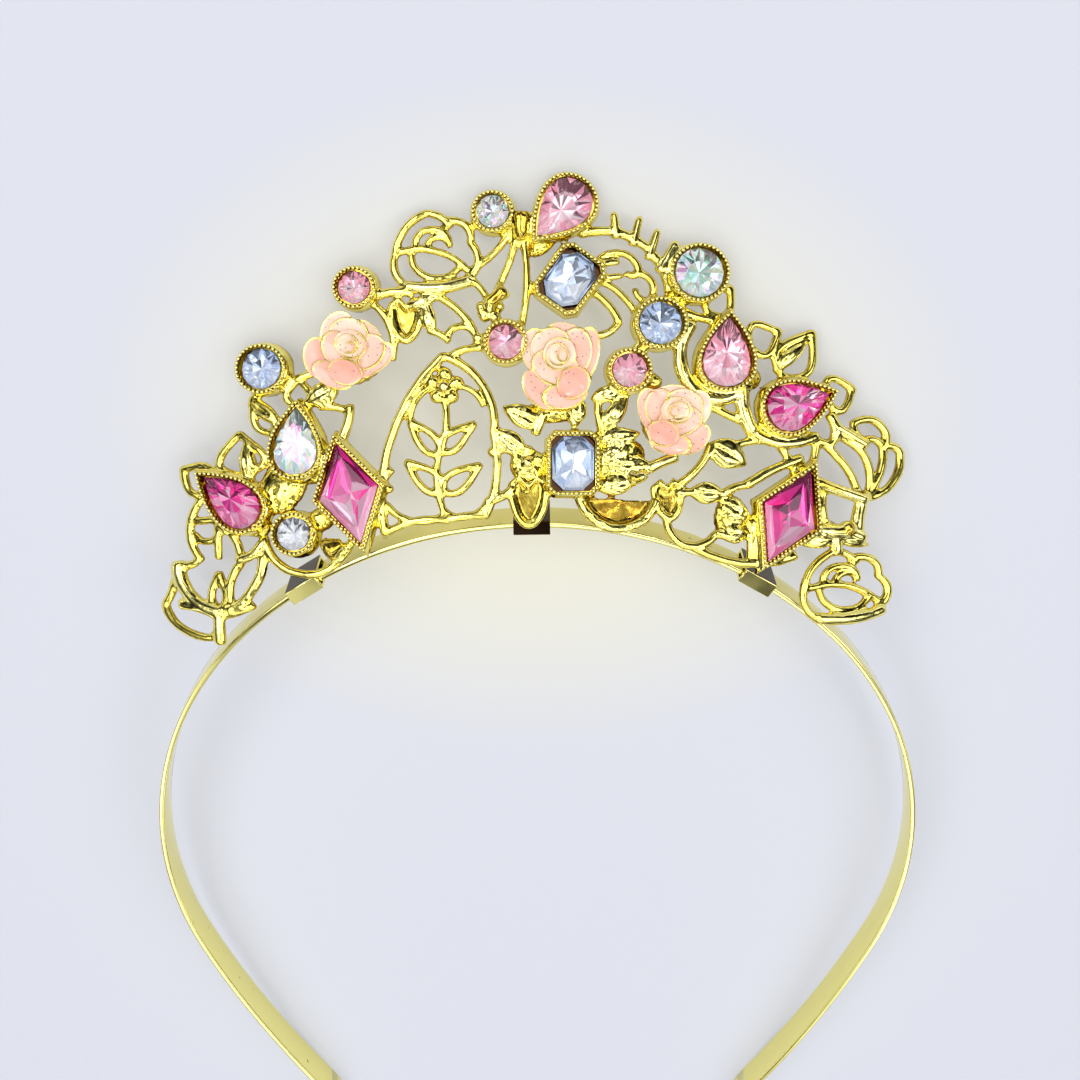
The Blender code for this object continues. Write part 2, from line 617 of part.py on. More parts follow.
def mesh_of(name, shells):
    """One mesh in metres from shells in millimetres, each closed and facing out."""
    mesh = bpy.data.meshes.new(name)
    form = bmesh.new()
    for points, faces in shells:
        made = [form.verts.new(Vector(point) * MM) for point in points]
        for face in faces:
            form.faces.new([made[i] for i in face])
    bmesh.ops.recalc_face_normals(form, faces=form.faces)
    form.to_mesh(mesh)
    form.free()
    return mesh


def material(name, color, roughness, metallic, transmission=0.0):
    made = bpy.data.materials.new(name)
    made.use_nodes = True
    shader = made.node_tree.nodes["Principled BSDF"]
    shader.inputs["Base Color"].default_value = (*color, 1.0)
    shader.inputs["Roughness"].default_value = roughness
    shader.inputs["Metallic"].default_value = metallic
    shader.inputs["Transmission Weight"].default_value = transmission
    return made


def added(name, mesh, look, parent):
    piece = bpy.data.objects.new(name, mesh)
    bpy.context.scene.collection.objects.link(piece)
    piece.parent = parent
    mesh.materials.append(look)
    return piece


def helper_object(name, shells):
    """A mesh object that only takes part in a Boolean."""
    helper = bpy.data.objects.new(name, mesh_of(name, shells))
    bpy.context.scene.collection.objects.link(helper)
    helper.hide_render = True
    helper.display_type = "WIRE"
    return helper


def boolean_mesh(shells, cutters):
    """The union of overlapping shells, less the cutters, as a new mesh.

    The exact solver leaves open edges where this many wires cross, so both steps
    use the manifold one."""
    base = helper_object("union_base", shells[:1])
    group = bpy.data.collections.new("union_pieces")
    others = [helper_object("union_piece", [shell]) for shell in shells[1:]]
    for other in others:
        group.objects.link(other)
    pockets = helper_object("pockets", cutters)
    join = base.modifiers.new("join", "BOOLEAN")
    join.operation = "UNION"
    join.operand_type = "COLLECTION"
    join.collection = group
    join.solver = "MANIFOLD"
    cut = base.modifiers.new("cut", "BOOLEAN")
    cut.operation = "DIFFERENCE"
    cut.object = pockets
    cut.solver = "MANIFOLD"
    thin = base.modifiers.new("thin", "DECIMATE")
    thin.ratio = KEPT_TRIANGLES
    thin.use_collapse_triangulate = True
    bpy.context.view_layer.update()
    graph = bpy.context.evaluated_depsgraph_get()
    result = bpy.data.meshes.new_from_object(base.evaluated_get(graph))
    for helper in [base, pockets] + others:
        bpy.data.objects.remove(helper)
    bpy.data.collections.remove(group)
    return result


def openwork(look, parent):
    mesh = boolean_mesh(openwork_shells(), pocket_shells())
    mesh.materials.clear()
    for vertex in mesh.vertices:
        vertex.co = bowed(*(vertex.co / MM)) * MM
    return added("openwork", mesh, look, parent)


def stone_shell(cut, width, length):
    """A cut stone about its own centre: table, crown and pavilion facets."""
    outline = stone_outline(cut, width, length)
    crown = TABLE_HEIGHT - GIRDLE_HEIGHT
    low = GIRDLE_HEIGHT - GIRDLE_BAND
    depth = low - CULET_HEIGHT

    def ring(points, z):
        return [(x, y, z) for x, y in points]

    if cut in ("round", "pear"):
        return brilliant(outline, low, crown)
    step = width * STEP_SHARE
    keel = [(KEEL_SHARE * x, KEEL_SHARE * y) for x, y in outline]
    rings = [
        ring(keel, CULET_HEIGHT),
        ring(grown(outline, -PAVILION_STEP * step), CULET_HEIGHT + PAVILION_HEIGHT * depth),
        ring(outline, low),
        ring(outline, GIRDLE_HEIGHT),
        ring(grown(outline, -step), GIRDLE_HEIGHT + KITE_HEIGHT * crown),
        ring(grown(outline, -2 * step), TABLE_HEIGHT),
    ]
    return lofted(rings)


def brilliant(outline, low, crown):
    """Round or pear brilliant: star, kite and girdle facets round the table."""
    count = len(outline)
    half = count // 2
    girdle = [(x, y, GIRDLE_HEIGHT) for x, y in outline]
    base = [(x, y, low) for x, y in outline]
    kite = [(KITE_SHARE * x, KITE_SHARE * y, GIRDLE_HEIGHT + KITE_HEIGHT * crown)
            for x, y in outline[1::2]]
    table = [(TABLE_SHARE * x, TABLE_SHARE * y, TABLE_HEIGHT) for x, y in outline[::2]]
    points = base + girdle + kite + table + [(0.0, 0.0, CULET_HEIGHT)]
    g, k, t, culet = count, 2 * count, 2 * count + half, 2 * count + 2 * half
    faces = [tuple(t + i for i in range(half))]
    for i in range(half):
        j = (i + 1) % half
        before = (i - 1) % half
        faces.append((t + i, k + i, t + j))
        faces.append((t + i, k + before, g + 2 * i, k + i))
        faces.append((k + i, g + 2 * i, g + 2 * i + 1))
        faces.append((k + i, g + 2 * i + 1, g + (2 * i + 2) % count))
    for i in range(count):
        j = (i + 1) % count
        faces.append((i, j, g + j, g + i))
        faces.append((j, i, culet))
    return points, faces


def local_frame(x, y):
    """Matrix in metres of the bowed surface at a drawn point."""
    angle, _, _ = bow_at(x)
    return Matrix.Translation(bowed(x, y, 0.0) * MM) @ Matrix.Rotation(angle, 4, "Y")


def stretched(shell, x, turn):
    """A shell turned in the drawing and widened as the bow widens the drawing there."""
    angle, _, growth = bow_at(x)
    points, faces = shell
    flat = turned([(px, py) for px, py, _ in points], turn)
    widened = [(px * growth / math.cos(angle), py * growth, point[2])
               for (px, py), point in zip(flat, points)]
    return widened, faces


def stone(row, looks, parent):
    name, cut, color, x, y, width, length, turn = row
    shell = stretched(stone_shell(cut, width, length), x, turn - 90)
    piece = added(name, mesh_of(name, [shell]), looks[color], parent)
    piece.matrix_local = local_frame(x, y)


def petal_height(share, angle, direction):
    """Relief of an enamelled rose, from 0 at its edge to 1 at its heart."""
    dome = 1 - share ** 2.2
    outer = 0.12 * math.cos(3 * (angle - direction)) * share * (1 - share) * 4
    swirl = 0.10 * math.cos(2 * angle + 7 * share) * (1 - share)
    return max(0.0, 0.85 * dome + outer + swirl)


def rose(row, look, parent):
    name, x, y, width, height, direction = row
    outline = rose_outline(width, height, direction)
    rings = [[(px, py, ROSE_BOTTOM) for px, py in outline]]
    for step in range(ROSE_RINGS):
        share = 1 - step / ROSE_RINGS
        ring = []
        for i, (px, py) in enumerate(outline):
            angle = math.tau * i / ROSE_SECTORS
            relief = petal_height(share, angle, math.radians(direction)) if step else 0.0
            ring.append((px * share, py * share, ROSE_EDGE_HEIGHT + ROSE_RELIEF * relief))
        rings.append(ring)
    shell = stretched(lofted(rings), x, 0)
    piece = added(name, mesh_of(name, [shell]), look, parent)
    piece.matrix_local = local_frame(x, y)


# The headband and its clips


def band_at(along):
    """Place, outward and along directions at a length from the crown, in the band's plane."""
    side = 1 if along >= 0 else -1
    left = abs(along)
    point, heading = Vector((0.0, 0.0)), 0.0
    for radius, degrees in BAND_ARCS:
        turn = min(math.radians(degrees), left / radius)
        point += radius * Vector((
            math.sin(heading + turn) - math.sin(heading),
            math.cos(heading + turn) - math.cos(heading),
        ))
        heading += turn
        left -= radius * turn
    point.x *= side
    outward = Vector((side * math.sin(heading), math.cos(heading)))
    forward = Vector((math.cos(heading), -side * math.sin(heading)))
    return point, outward, forward


def band_plane():
    """Matrix from (across, down the band's plane, front to back) to the ornament's frame."""
    lean = Matrix.Rotation(BAND_LEAN, 4, "X")
    return Matrix.Translation((0.0, 0.0, -BAND_SET_BACK * MM)) @ lean


def headband(look, parent):
    half = sum(radius * math.radians(degrees) for radius, degrees in BAND_ARCS)
    rings = []
    stations = [half * (2 * i / BAND_SEGMENTS - 1) for i in range(BAND_SEGMENTS + 1)]
    ends = [half - TIP_LENGTH * share for share in TIP_SECTIONS]
    stations = [-end for end in ends] + stations[1:-1] + ends[::-1]
    for along in sorted(stations):
        point, outward, _ = band_at(along)
        share = min(1.0, max(0.0, (half - abs(along)) / TIP_LENGTH))
        half_width = BAND_WIDTH / 2 * max(TIP_END_WIDTH, math.sqrt(1 - (1 - share) ** 2))
        inner = point - outward * BAND_THICKNESS
        front, back = -BAND_WIDTH / 2 + half_width, -BAND_WIDTH / 2 - half_width
        rings.append([(point.x, point.y, front), (point.x, point.y, back),
                      (inner.x, inner.y, back), (inner.x, inner.y, front)])
    piece = added("headband", mesh_of("headband", [lofted(rings)]), look, parent)
    piece.matrix_local = band_plane()
    return piece


def clip(name, x, look, parent):
    """A strip folded round the band with a narrow seam on the inner side."""
    radius = BAND_ARCS[0][0]
    point, outward, forward = band_at(radius * math.asin(x / radius))
    high, low = GAP, -BAND_THICKNESS - GAP
    front, back = GAP, -BAND_WIDTH - GAP
    wall, seam = CLIP_WALL, CLIP_SEAM / 2
    middle = (front + back) / 2
    profile = (
        (low - wall, middle + seam), (low - wall, front + wall), (high + wall, front + wall),
        (high + wall, back - wall), (low - wall, back - wall), (low - wall, middle - seam),
        (low, middle - seam), (low, back), (high, back), (high, front), (low, front), (low, middle + seam),
    )
    rings = []
    for side in (-CLIP_WIDTH / 2, CLIP_WIDTH / 2):
        ring = []
        for out, depth in profile:
            place = point + outward * out + forward * side
            ring.append((place.x, place.y, depth))
        rings.append(ring)
    piece = added(name, mesh_of(name, [lofted(rings)]), look, parent)
    piece.matrix_local = band_plane()


# The rest pose

LEAST_TILT = math.radians(-35)
MOST_TILT = math.radians(-5)
TILT_STEPS = 40


def all_points(pieces):
    return [piece.matrix_local @ vertex.co for piece in pieces for vertex in piece.data.vertices]


def resting_tilt(points):
    """Tilt at which the top cups and the band's tips touch the table together."""
    upper = [p for p in points if p.y > 0]
    lower = [p for p in points if p.y <= 0]

    def lowest(group, tilt):
        return min(p.y * math.sin(tilt) + p.z * math.cos(tilt) for p in group)

    small, large = LEAST_TILT, MOST_TILT
    for _ in range(TILT_STEPS):
        tilt = (small + large) / 2
        if lowest(upper, tilt) > lowest(lower, tilt):
            large = tilt
        else:
            small = tilt
    return (small + large) / 2


def lay_down(rest, pieces):
    bpy.context.view_layer.update()
    points = all_points(pieces)
    tilt = resting_tilt(points)
    placed = [Matrix.Rotation(tilt, 3, "X") @ point for point in points]
    middle_x = (min(p.x for p in placed) + max(p.x for p in placed)) / 2
    middle_y = (min(p.y for p in placed) + max(p.y for p in placed)) / 2
    rest.rotation_euler = (tilt, 0.0, 0.0)
    rest.location = (-middle_x, -middle_y, -min(p.z for p in placed))


def main():
    for old in list(bpy.data.objects):
        bpy.data.objects.remove(old)
    rest = bpy.data.objects.new("rest_pose", None)
    bpy.context.scene.collection.objects.link(rest)
    gold = material("gold_plate", (0.83, 0.66, 0.13), 0.12, 1.0)
    enamel = material("pink_enamel", (0.93, 0.62, 0.52), 0.35, 0.0)
    looks = {
        "pink": material("stone_pink", (0.90, 0.45, 0.60), 0.03, 0.0, 0.5),
        "magenta": material("stone_magenta", (0.80, 0.12, 0.50), 0.03, 0.0, 0.5),
        "blue": material("stone_blue", (0.50, 0.65, 0.85), 0.03, 0.0, 0.5),
        "opal": material("stone_opal", (0.80, 0.88, 0.90), 0.03, 0.0, 0.5),
        "clear": material("stone_clear", (0.75, 0.80, 0.88), 0.03, 0.0, 0.5),
    }
    openwork(gold, rest)
    headband(gold, rest)
    for name, x in CLIPS:
        clip(name, x, gold, rest)
    for row in STONES:
        stone(row, looks, rest)
    for row in ROSES:
        rose(row, enamel, rest)
    lay_down(rest, list(rest.children))


main()
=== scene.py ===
"""The looks of the tiara: its fine cast openwork, beaded cups, cut stones,
enamelled roses, polished headband, floor, lights and camera.

The ornament is drawn flat in millimetres, as part of the design: x to the
right, y up from the top of the headband's front edge, z out to the viewer. It
is then bowed round the head and laid on the floor in the pose of the model."""

import math
import random

import bmesh
import bpy
from mathutils import Matrix, Vector, noise


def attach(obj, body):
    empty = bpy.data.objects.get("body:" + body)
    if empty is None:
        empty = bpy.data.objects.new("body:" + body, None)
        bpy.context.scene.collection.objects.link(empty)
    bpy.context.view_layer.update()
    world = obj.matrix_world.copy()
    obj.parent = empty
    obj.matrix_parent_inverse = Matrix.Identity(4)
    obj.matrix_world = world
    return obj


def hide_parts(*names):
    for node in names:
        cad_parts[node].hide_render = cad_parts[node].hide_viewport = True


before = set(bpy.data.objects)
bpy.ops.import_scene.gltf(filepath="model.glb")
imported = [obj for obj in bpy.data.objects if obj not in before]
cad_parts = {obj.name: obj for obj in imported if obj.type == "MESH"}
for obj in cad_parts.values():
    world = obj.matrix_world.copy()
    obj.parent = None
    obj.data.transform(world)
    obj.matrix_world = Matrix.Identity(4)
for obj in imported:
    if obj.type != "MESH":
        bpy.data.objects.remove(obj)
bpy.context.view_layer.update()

MM = 0.001

# The pose of the design in the frame
REST_TILT = math.radians(-19.6187)
REST_PLACE = Vector((0.0, 33.198, 17.705)) * MM
REST = Matrix.Translation(REST_PLACE) @ Matrix.Rotation(REST_TILT, 4, "X")

# The bow of the ornament
BOW_RADIUS = 130.0
DRAWING_DISTANCE = 240.0
DRAWING_CENTRE = (0.45, -2.6)

# The headband and clips
BAND_LEAN = math.radians(25)
BAND_SET_BACK = 1.4
BAND_WIDTH = 6.0
BAND_THICKNESS = 0.9
BAND_EDGE = 0.22
BAND_WAVE = 0.05
BAND_ARCS = ((66.0, 45.0), (54.6, 69.0), (180.0, 13.6))  # radius, degrees
BAND_STATIONS = 260
BAND_CORNERS = (  # place across the strip, side along its width, where its rounding starts
    (0, 1, 0),
    (-BAND_THICKNESS, 1, 90),
    (-BAND_THICKNESS, -1, 180),
    (0, -1, 270),
)
TIP_LENGTH = 3.0
CLIP_WIDTH = 5.6
CLIP_WALL = 0.5
CLIP_SEAM = 0.8
CLIP_GAP = 0.3
CLIP_LEAN = 0.35
CLIP_BEVEL = 0.14
CLIPS = (("clip_left", -36.0), ("clip_centre", -0.8), ("clip_right", 34.0))  # name, x on the band

# The cups and stones
CUP_FLOOR = 0.8
CUP_HEIGHT = 2.55
# distance out from the stone, height
CUP_PROFILE = ((1.15, 0.0), (1.12, 0.9), (0.95, 1.6), (0.84, 2.0), (0.62, CUP_HEIGHT - 0.2))
CUP_CORNER_CUT = 0.12  # shares of the width
STONE_CORNER_CUT = 0.27
PEAR_WIDEST = 0.77
CULET_HEIGHT = 1.1
GIRDLE_HEIGHT = 2.2
GIRDLE = 0.12
TABLE_HEIGHT = 3.1
CROWN_BREAK = 0.62  # share of the crown's height where its facets change slope
SEAT_GAP = 0.14
CUT_TOP = 6.0
BEAD_SPACING = 0.66
BEAD_RADIUS = 0.30
BEAD_HEIGHT = 2.6
BEAD_OFFSET = 0.50
SMOOTH_SIDES = 64
STONE_SIDES = {"round": 16, "pear": 20}
FACET_RISE = 0.09
# Painted shade and highlights of the foil's facets: the darkening of a shaded facet, and the brightness
# below which a facet is shaded and above which it is whitened as a painted highlight.
SHADED_FACET = 0.22
SHADE_BELOW, HIGHLIGHT_ABOVE = 0.22, 0.62

# cut, colour, place, x, y, width, length, direction of the long axis or tip in degrees
STONES = (
    ("round", "opal", "top", -6.5, 46.3, 4.8, 4.8, 90),
    ("pear", "pink", "top", 3.5, 46.5, 7.3, 10.3, 227),
    ("octagon", "blue", "top", 4.8, 36.2, 6.2, 8.0, 54),
    ("round", "opal", "right", 23.8, 37.2, 7.3, 7.3, 90),
    ("round", "blue", "right", 18.1, 29.7, 6.3, 6.3, 90),
    ("round", "pink", "right", 13.6, 22.7, 5.1, 5.1, 90),
    ("round", "pink", "centre", -4.6, 26.9, 5.1, 5.1, 90),
    ("pear", "pink", "right", 27.9, 25.4, 7.2, 10.3, 86),
    ("pear", "magenta", "right", 38.4, 17.6, 7.0, 9.9, 20),
    ("round", "pink", "left", -26.8, 35.0, 4.8, 4.8, 90),
    ("round", "blue", "left", -40.4, 22.9, 6.0, 6.0, 90),
    ("pear", "opal", "left", -35.4, 12.1, 6.6, 10.0, 88),
    ("pear", "magenta", "left", -45.1, 3.5, 6.3, 10.5, 141),
    ("round", "clear", "left", -35.7, -1.7, 5.0, 5.0, 90),
    ("rhombus", "magenta", "left", -27.6, 4.4, 9.1, 15.3, 104),
    ("rhombus", "magenta", "right", 37.0, 1.0, 8.6, 15.0, 64),
    ("octagon", "blue", "centre", 5.3, 8.8, 6.2, 8.0, 90),
)

# The enamelled roses
ROSE_BACKING = 1.2
ROSE_BOTTOM = 1.5
ROSE_BOSS = 1.9
ROSE_RELIEF = 1.25
# name, x, y, width, height, turn of the petals in degrees, mirrored
ROSES = (
    ("rose_left", -28.0, 25.1, 12.2, 11.0, -40, 1),
    ("rose_centre", 3.5, 23.2, 11.8, 13.0, 0, 1),
    ("rose_right", 20.1, 15.2, 11.2, 10.5, 0, -1),
)

# Wires of the openwork, arcs that bulge to the left: x0, y0, x1, y1, bulge, wire diameter
STRANDS = (
    # left end, below the magenta pear
    (-50.0, 3.4, -50.1, -5.6, -1.6, 1.3),
    (-51.6, 0.2, -47.0, 0.4, 0.0, 1.2),
    (-50.9, -1.8, -47.2, -0.2, -1.8, 1.2),
    (-47.6, -0.6, -47.4, -5.3, 0.0, 1.2),
    (-46.8, -0.8, -44.1, -6.1, 0.9, 1.3),
    (-44.1, -6.1, -45.5, -12.6, -0.8, 1.3),
    (-44.3, -5.6, -40.6, -2.8, -0.6, 1.6),
    # flower at the far left
    (-53.3, -6.2, -55.4, -12.2, 0.4, 1.3),
    (-50.2, -5.4, -53.4, -6.3, 0.6, 1.3),
    (-55.4, -12.2, -48.6, -17.2, -1.4, 1.3),
    (-48.6, -17.2, -47.2, -13.4, -0.6, 1.2),
    (-53.3, -6.2, -47.2, -13.4, -1.5, 2.0),
    (-52.8, -12.2, -47.6, -13.8, 0.4, 1.7),
    (-47.2, -13.4, -40.8, -5.2, -1.9, 1.5),
    (-46.8, -14.0, -42.3, -12.4, -0.2, 1.3),
    (-47.3, -13.4, -47.1, -17.9, 0.0, 1.7),
    # scroll under the clear stone, and the bars by the left stones
    (-40.6, -2.4, -27.9, -3.1, -5.0, 1.4),
    (-42.6, 17.8, -38.2, 15.2, -0.6, 1.3),
    (-32.2, 17.3, -27.6, 16.4, 0.4, 1.3),
    (-27.8, 17.4, -29.6, 11.4, 0.5, 1.5),
    (-36.6, 20.8, -32.8, 22.4, 0.3, 1.3),
    # from the left rose and the pink stone to the wire rose
    (-24.6, 33.6, -18.8, 34.4, 0.5, 1.5),
    (-24.2, 32.5, -21.6, 24.5, 1.3, 1.3),
    (-13.4, 27.2, -9.0, 27.0, 2.3, 1.2),
    (-16.2, 28.6, -13.2, 27.2, 0.3, 1.3),
    (-15.6, 34.2, -9.3, 28.6, 0.8, 1.3),
    (-9.2, 27.6, -7.0, 27.2, 0.2, 1.4),
    # fan of stems below the two top cups
    (-3.6, 44.0, -10.2, 37.6, 0.7, 1.2),
    (-3.0, 43.6, -6.0, 34.8, 0.5, 1.2),
    (-2.2, 43.2, -2.3, 29.0, 0.7, 1.2),
    (-8.6, 31.4, -5.4, 29.4, 0.5, 1.3),
    (-10.0, 36.6, -7.6, 33.8, 0.2, 1.2),
    # arch with a leafy stem
    (-22.6, -1.6, -14.0, 25.0, 3.6, 1.4),
    (-14.0, 25.0, -6.4, 13.2, 2.6, 1.4),
    (-6.4, 13.2, -7.6, 1.0, 1.0, 1.4),
    (-13.4, 0.4, -14.6, 10.2, 0.8, 1.2),
    (-14.6, 10.2, -13.8, 18.4, -0.7, 1.2),
    (-22.3, 2.6, -13.3, 1.6, -2.0, 1.2),
    (-13.4, 1.4, -7.4, 3.0, -1.4, 1.2),
    (-24.6, 6.4, -21.8, 5.0, 0.0, 1.3),
    (-24.4, 2.2, -21.6, 7.8, 0.5, 1.2),
    (-22.6, -1.6, -13.4, 0.4, 0.8, 1.3),
    (-13.4, 0.4, -7.6, 1.0, 0.3, 1.3),
    (-18.9, 15.2, -16.0, 20.2, 0.8, 1.1),
    (-11.4, 20.4, -8.0, 17.6, 0.6, 1.1),
    (-7.0, 10.4, -3.6, 10.6, 0.4, 1.3),
    (-7.4, 3.2, -3.6, 5.2, -0.4, 1.4),
    (-12.6, 25.0, -7.4, 26.0, 0.6, 1.3),
    # twig and tendrils between the top cups and the large opal
    (6.6, 43.2, 19.6, 34.6, 3.7, 1.5),
    (8.6, 38.4, 15.2, 38.0, 2.2, 1.2),
    (15.2, 38.0, 13.4, 37.4, 0.8, 1.1),
    (14.7, 37.4, 16.6, 33.2, 1.5, 1.2),
    (16.6, 33.2, 14.6, 34.8, 0.6, 1.1),
    (8.2, 36.4, 14.6, 31.2, 1.0, 1.2),
    (8.4, 34.4, 12.2, 30.0, 0.5, 1.3),
    (12.2, 30.0, 6.2, 28.9, 1.5, 1.3),
    # right side, round the two pears
    (20.6, 32.4, 26.0, 30.4, -0.4, 1.4),
    (14.9, 25.6, 16.4, 27.2, 0.0, 2.4),
    (22.8, 29.6, 23.2, 19.8, -1.9, 2.2),
    (23.2, 19.8, 31.4, 21.6, -2.2, 2.2),
    (31.6, 23.4, 31.8, 13.8, -1.4, 2.2),
    (31.8, 13.8, 41.4, 13.0, -1.6, 1.8),
    (25.2, 17.6, 34.6, 12.6, 0.3, 1.4),
    (27.4, 11.0, 35.2, 12.2, 0.5, 1.3),
    (35.2, 12.2, 38.4, 7.6, 0.3, 1.3),
    (41.6, 12.8, 40.6, 7.6, 0.2, 1.3),
    (43.6, 16.0, 43.4, 11.4, 0.9, 1.5),
    (43.4, 11.8, 40.9, 12.9, 0.2, 1.3),
    # lower edge on the right
    (19.4, 0.4, 26.4, -1.8, -2.8, 1.4),
    (23.1, -3.6, 38.4, -5.0, -1.8, 1.4),
    (31.8, 0.0, 31.9, -5.6, 0.0, 1.3),
    (21.6, 6.0, 25.8, 11.6, -0.6, 1.4),
    (31.2, 5.8, 39.2, 9.6, 0.2, 1.6),
    (26.6, -1.6, 29.2, -2.4, 0.2, 1.5),
    (16.6, 8.0, 20.6, 9.8, 0.2, 1.8),
    (21.0, 4.4, 23.6, 4.6, 0.0, 1.4),
    (27.6, 4.2, 31.8, 5.8, 0.3, 1.4),
    # centre cluster
    (9.2, 18.6, 9.7, 13.4, -0.3, 1.3),
    (6.3, 3.9, 17.8, 3.2, -4.4, 1.6),
    (11.4, 17.4, 13.0, 19.8, 0.0, 1.2),
    (1.2, 16.9, -0.2, 13.4, 0.0, 1.6),
    # below the right side rose
    (42.8, 4.6, 43.6, -0.8, -0.8, 1.3),
    (41.0, -1.6, 48.2, -2.2, 0.6, 2.2),
    (44.2, -2.0, 44.6, -4.6, 0.0, 1.6),
)

# Leaves: base x, base y, tip x, tip y, width, kind. A loop is a wire outline, a blade is solid
LEAVES = (
    (-43.6, 7.0, -44.4, 13.2, 6.8, "loop"),
    (-42.6, 6.0, -43.4, 12.2, 2.4, "blade"),
    (-48.6, 5.4, -52.8, 8.0, 4.6, "loop"),
    (-39.4, 13.4, -42.4, 18.6, 3.0, "loop"),
    (-35.4, 17.4, -35.6, 21.6, 3.6, "loop"),
    (-47.3, -13.0, -47.4, -7.6, 2.2, "loop"),
    (-29.6, 20.4, -34.6, 17.6, 3.6, "blade"),
    (-15.6, 28.0, -16.6, 33.6, 2.2, "blade"),
    (-19.4, 32.0, -14.0, 34.2, 1.8, "blade"),
    (-13.9, 4.6, -19.4, 9.0, 3.0, "loop"),
    (-14.0, 4.6, -8.6, 8.6, 3.0, "loop"),
    (-14.6, 10.2, -18.9, 15.2, 2.6, "loop"),
    (-14.5, 10.6, -9.4, 14.8, 2.6, "loop"),
    (0.6, 14.6, -5.2, 17.4, 3.6, "blade"),
    (-1.6, 10.6, -6.6, 14.0, 3.2, "blade"),
    (6.4, 18.8, 5.4, 14.0, 3.0, "blade"),
    (8.0, 18.4, 13.0, 20.2, 2.6, "blade"),
    (9.7, 14.0, 13.6, 18.8, 2.8, "blade"),
    (9.2, 12.2, 15.4, 13.4, 3.0, "blade"),
    (9.2, 8.6, 14.4, 12.0, 3.2, "blade"),
    (10.0, 8.4, 17.2, 8.8, 3.2, "blade"),
    (9.0, 5.0, 15.0, 6.2, 3.0, "blade"),
    (25.6, 31.4, 28.8, 35.0, 4.6, "loop"),
    (31.6, 26.6, 36.0, 28.6, 5.0, "loop"),
    (36.6, 21.8, 41.0, 28.4, 5.6, "loop"),
    (35.2, 22.6, 40.4, 27.4, 2.0, "blade"),
    (43.0, 18.6, 47.0, 20.0, 5.2, "loop"),
    (25.6, 11.8, 31.2, 8.6, 4.6, "blade"),
    (22.6, 4.6, 28.2, 4.2, 3.4, "blade"),
    (27.2, 3.2, 31.8, 0.2, 3.4, "blade"),
    (27.4, -1.6, 31.6, -1.8, 3.0, "blade"),
    (44.6, -2.0, 39.4, -3.4, 2.4, "blade"),
    (44.0, -1.6, 49.4, -3.4, 2.4, "blade"),
)

# Twig nubs, prongs and round knobs: x0, y0, x1, y1, diameter at the end
PRONGS = (
    (11.7, 43.2, 11.5, 46.1, 1.3),
    (14.4, 42.2, 15.2, 45.4, 1.3),
    (16.8, 40.2, 17.8, 43.5, 1.3),
    (18.6, 38.2, 20.4, 41.5, 1.7),
    (9.0, 38.6, 11.9, 39.0, 1.1),
    (9.4, 36.6, 12.4, 36.9, 1.1),
    (44.9, 14.0, 48.8, 11.6, 1.3),
    (42.2, 5.6, 48.4, 3.4, 1.8),
    (-2.4, 45.2, -2.4, 43.2, 2.4),
    (-30.2, -3.7, -29.6, -3.4, 2.7),
    (-5.4, 34.2, -7.2, 32.6, 2.0),
    (14.4, 6.6, 15.8, 7.0, 1.8),
    (46.0, -0.9, 46.4, -0.9, 2.0),
)

# Tulip buds: x and y of the mouth's middle, width, height, turn in degrees
BUDS = (
    (-19.5, 32.4, 4.4, 5.2, 0),
    (-1.2, 5.6, 5.4, 6.0, 0),
    (19.4, 5.2, 4.2, 4.6, 4),
)

# Wire roses seen from the front: x, y, half width, half height, turn in degrees
WIRE_ROSES = (
    (-15.2, 40.6, 6.3, 5.8, 0),
    (45.6, -9.4, 6.3, 5.2, 4),
)
# Arcs of such a rose in a box from -1 to 1: x0, y0, x1, y1, bulge, wire diameter
WIRE_ROSE_ARCS = (
    (-0.62, -0.92, -0.94, -0.10, 0.16, 1.3),
    (-0.94, -0.10, -0.20, 0.98, 0.18, 1.3),
    (-0.20, 0.98, 0.34, 0.64, 0.10, 1.3),
    (0.20, 0.76, 0.84, 0.22, 0.26, 1.3),
    (0.84, 0.22, 0.76, -0.70, 0.22, 1.3),
    (-0.90, -0.05, 0.80, -0.52, 0.30, 1.2),
    (-0.46, 0.12, 0.34, 0.14, 0.44, 1.2),
    (0.34, 0.14, -0.18, 0.06, -0.26, 1.1),
    (-0.56, -0.10, 0.56, -0.42, -0.44, 1.2),
    (-0.66, -0.90, 0.84, -0.76, -0.12, 1.9),
)

# Wire roses seen from the side: x and y of the base, height twice, turn in degrees
SIDE_ROSES = ((48.6, 3.4, 12.4, 12.4, 0),)
# Arcs of such a rose, its height being 1: x0, y0, x1, y1, bulge, wire diameter
SIDE_ROSE_ARCS = (
    (-0.12, 0.92, 0.24, 0.60, 0.20, 1.3),
    (0.24, 0.64, 0.44, 0.50, 0.08, 1.3),
    (0.44, 0.52, 0.04, 0.02, 0.12, 1.3),
    (-0.36, 0.78, 0.04, 0.04, 0.20, 1.3),
    (-0.46, 0.66, -0.04, 0.02, 0.06, 1.3),
    (-0.12, 0.92, 0.02, 0.70, -0.04, 1.2),
    (0.02, 0.72, 0.24, 0.60, 0.06, 1.2),
    (0.24, 0.60, 0.03, 0.04, 0.05, 1.3),
    (0.00, 0.05, -0.08, -0.42, -0.04, 1.9),
)

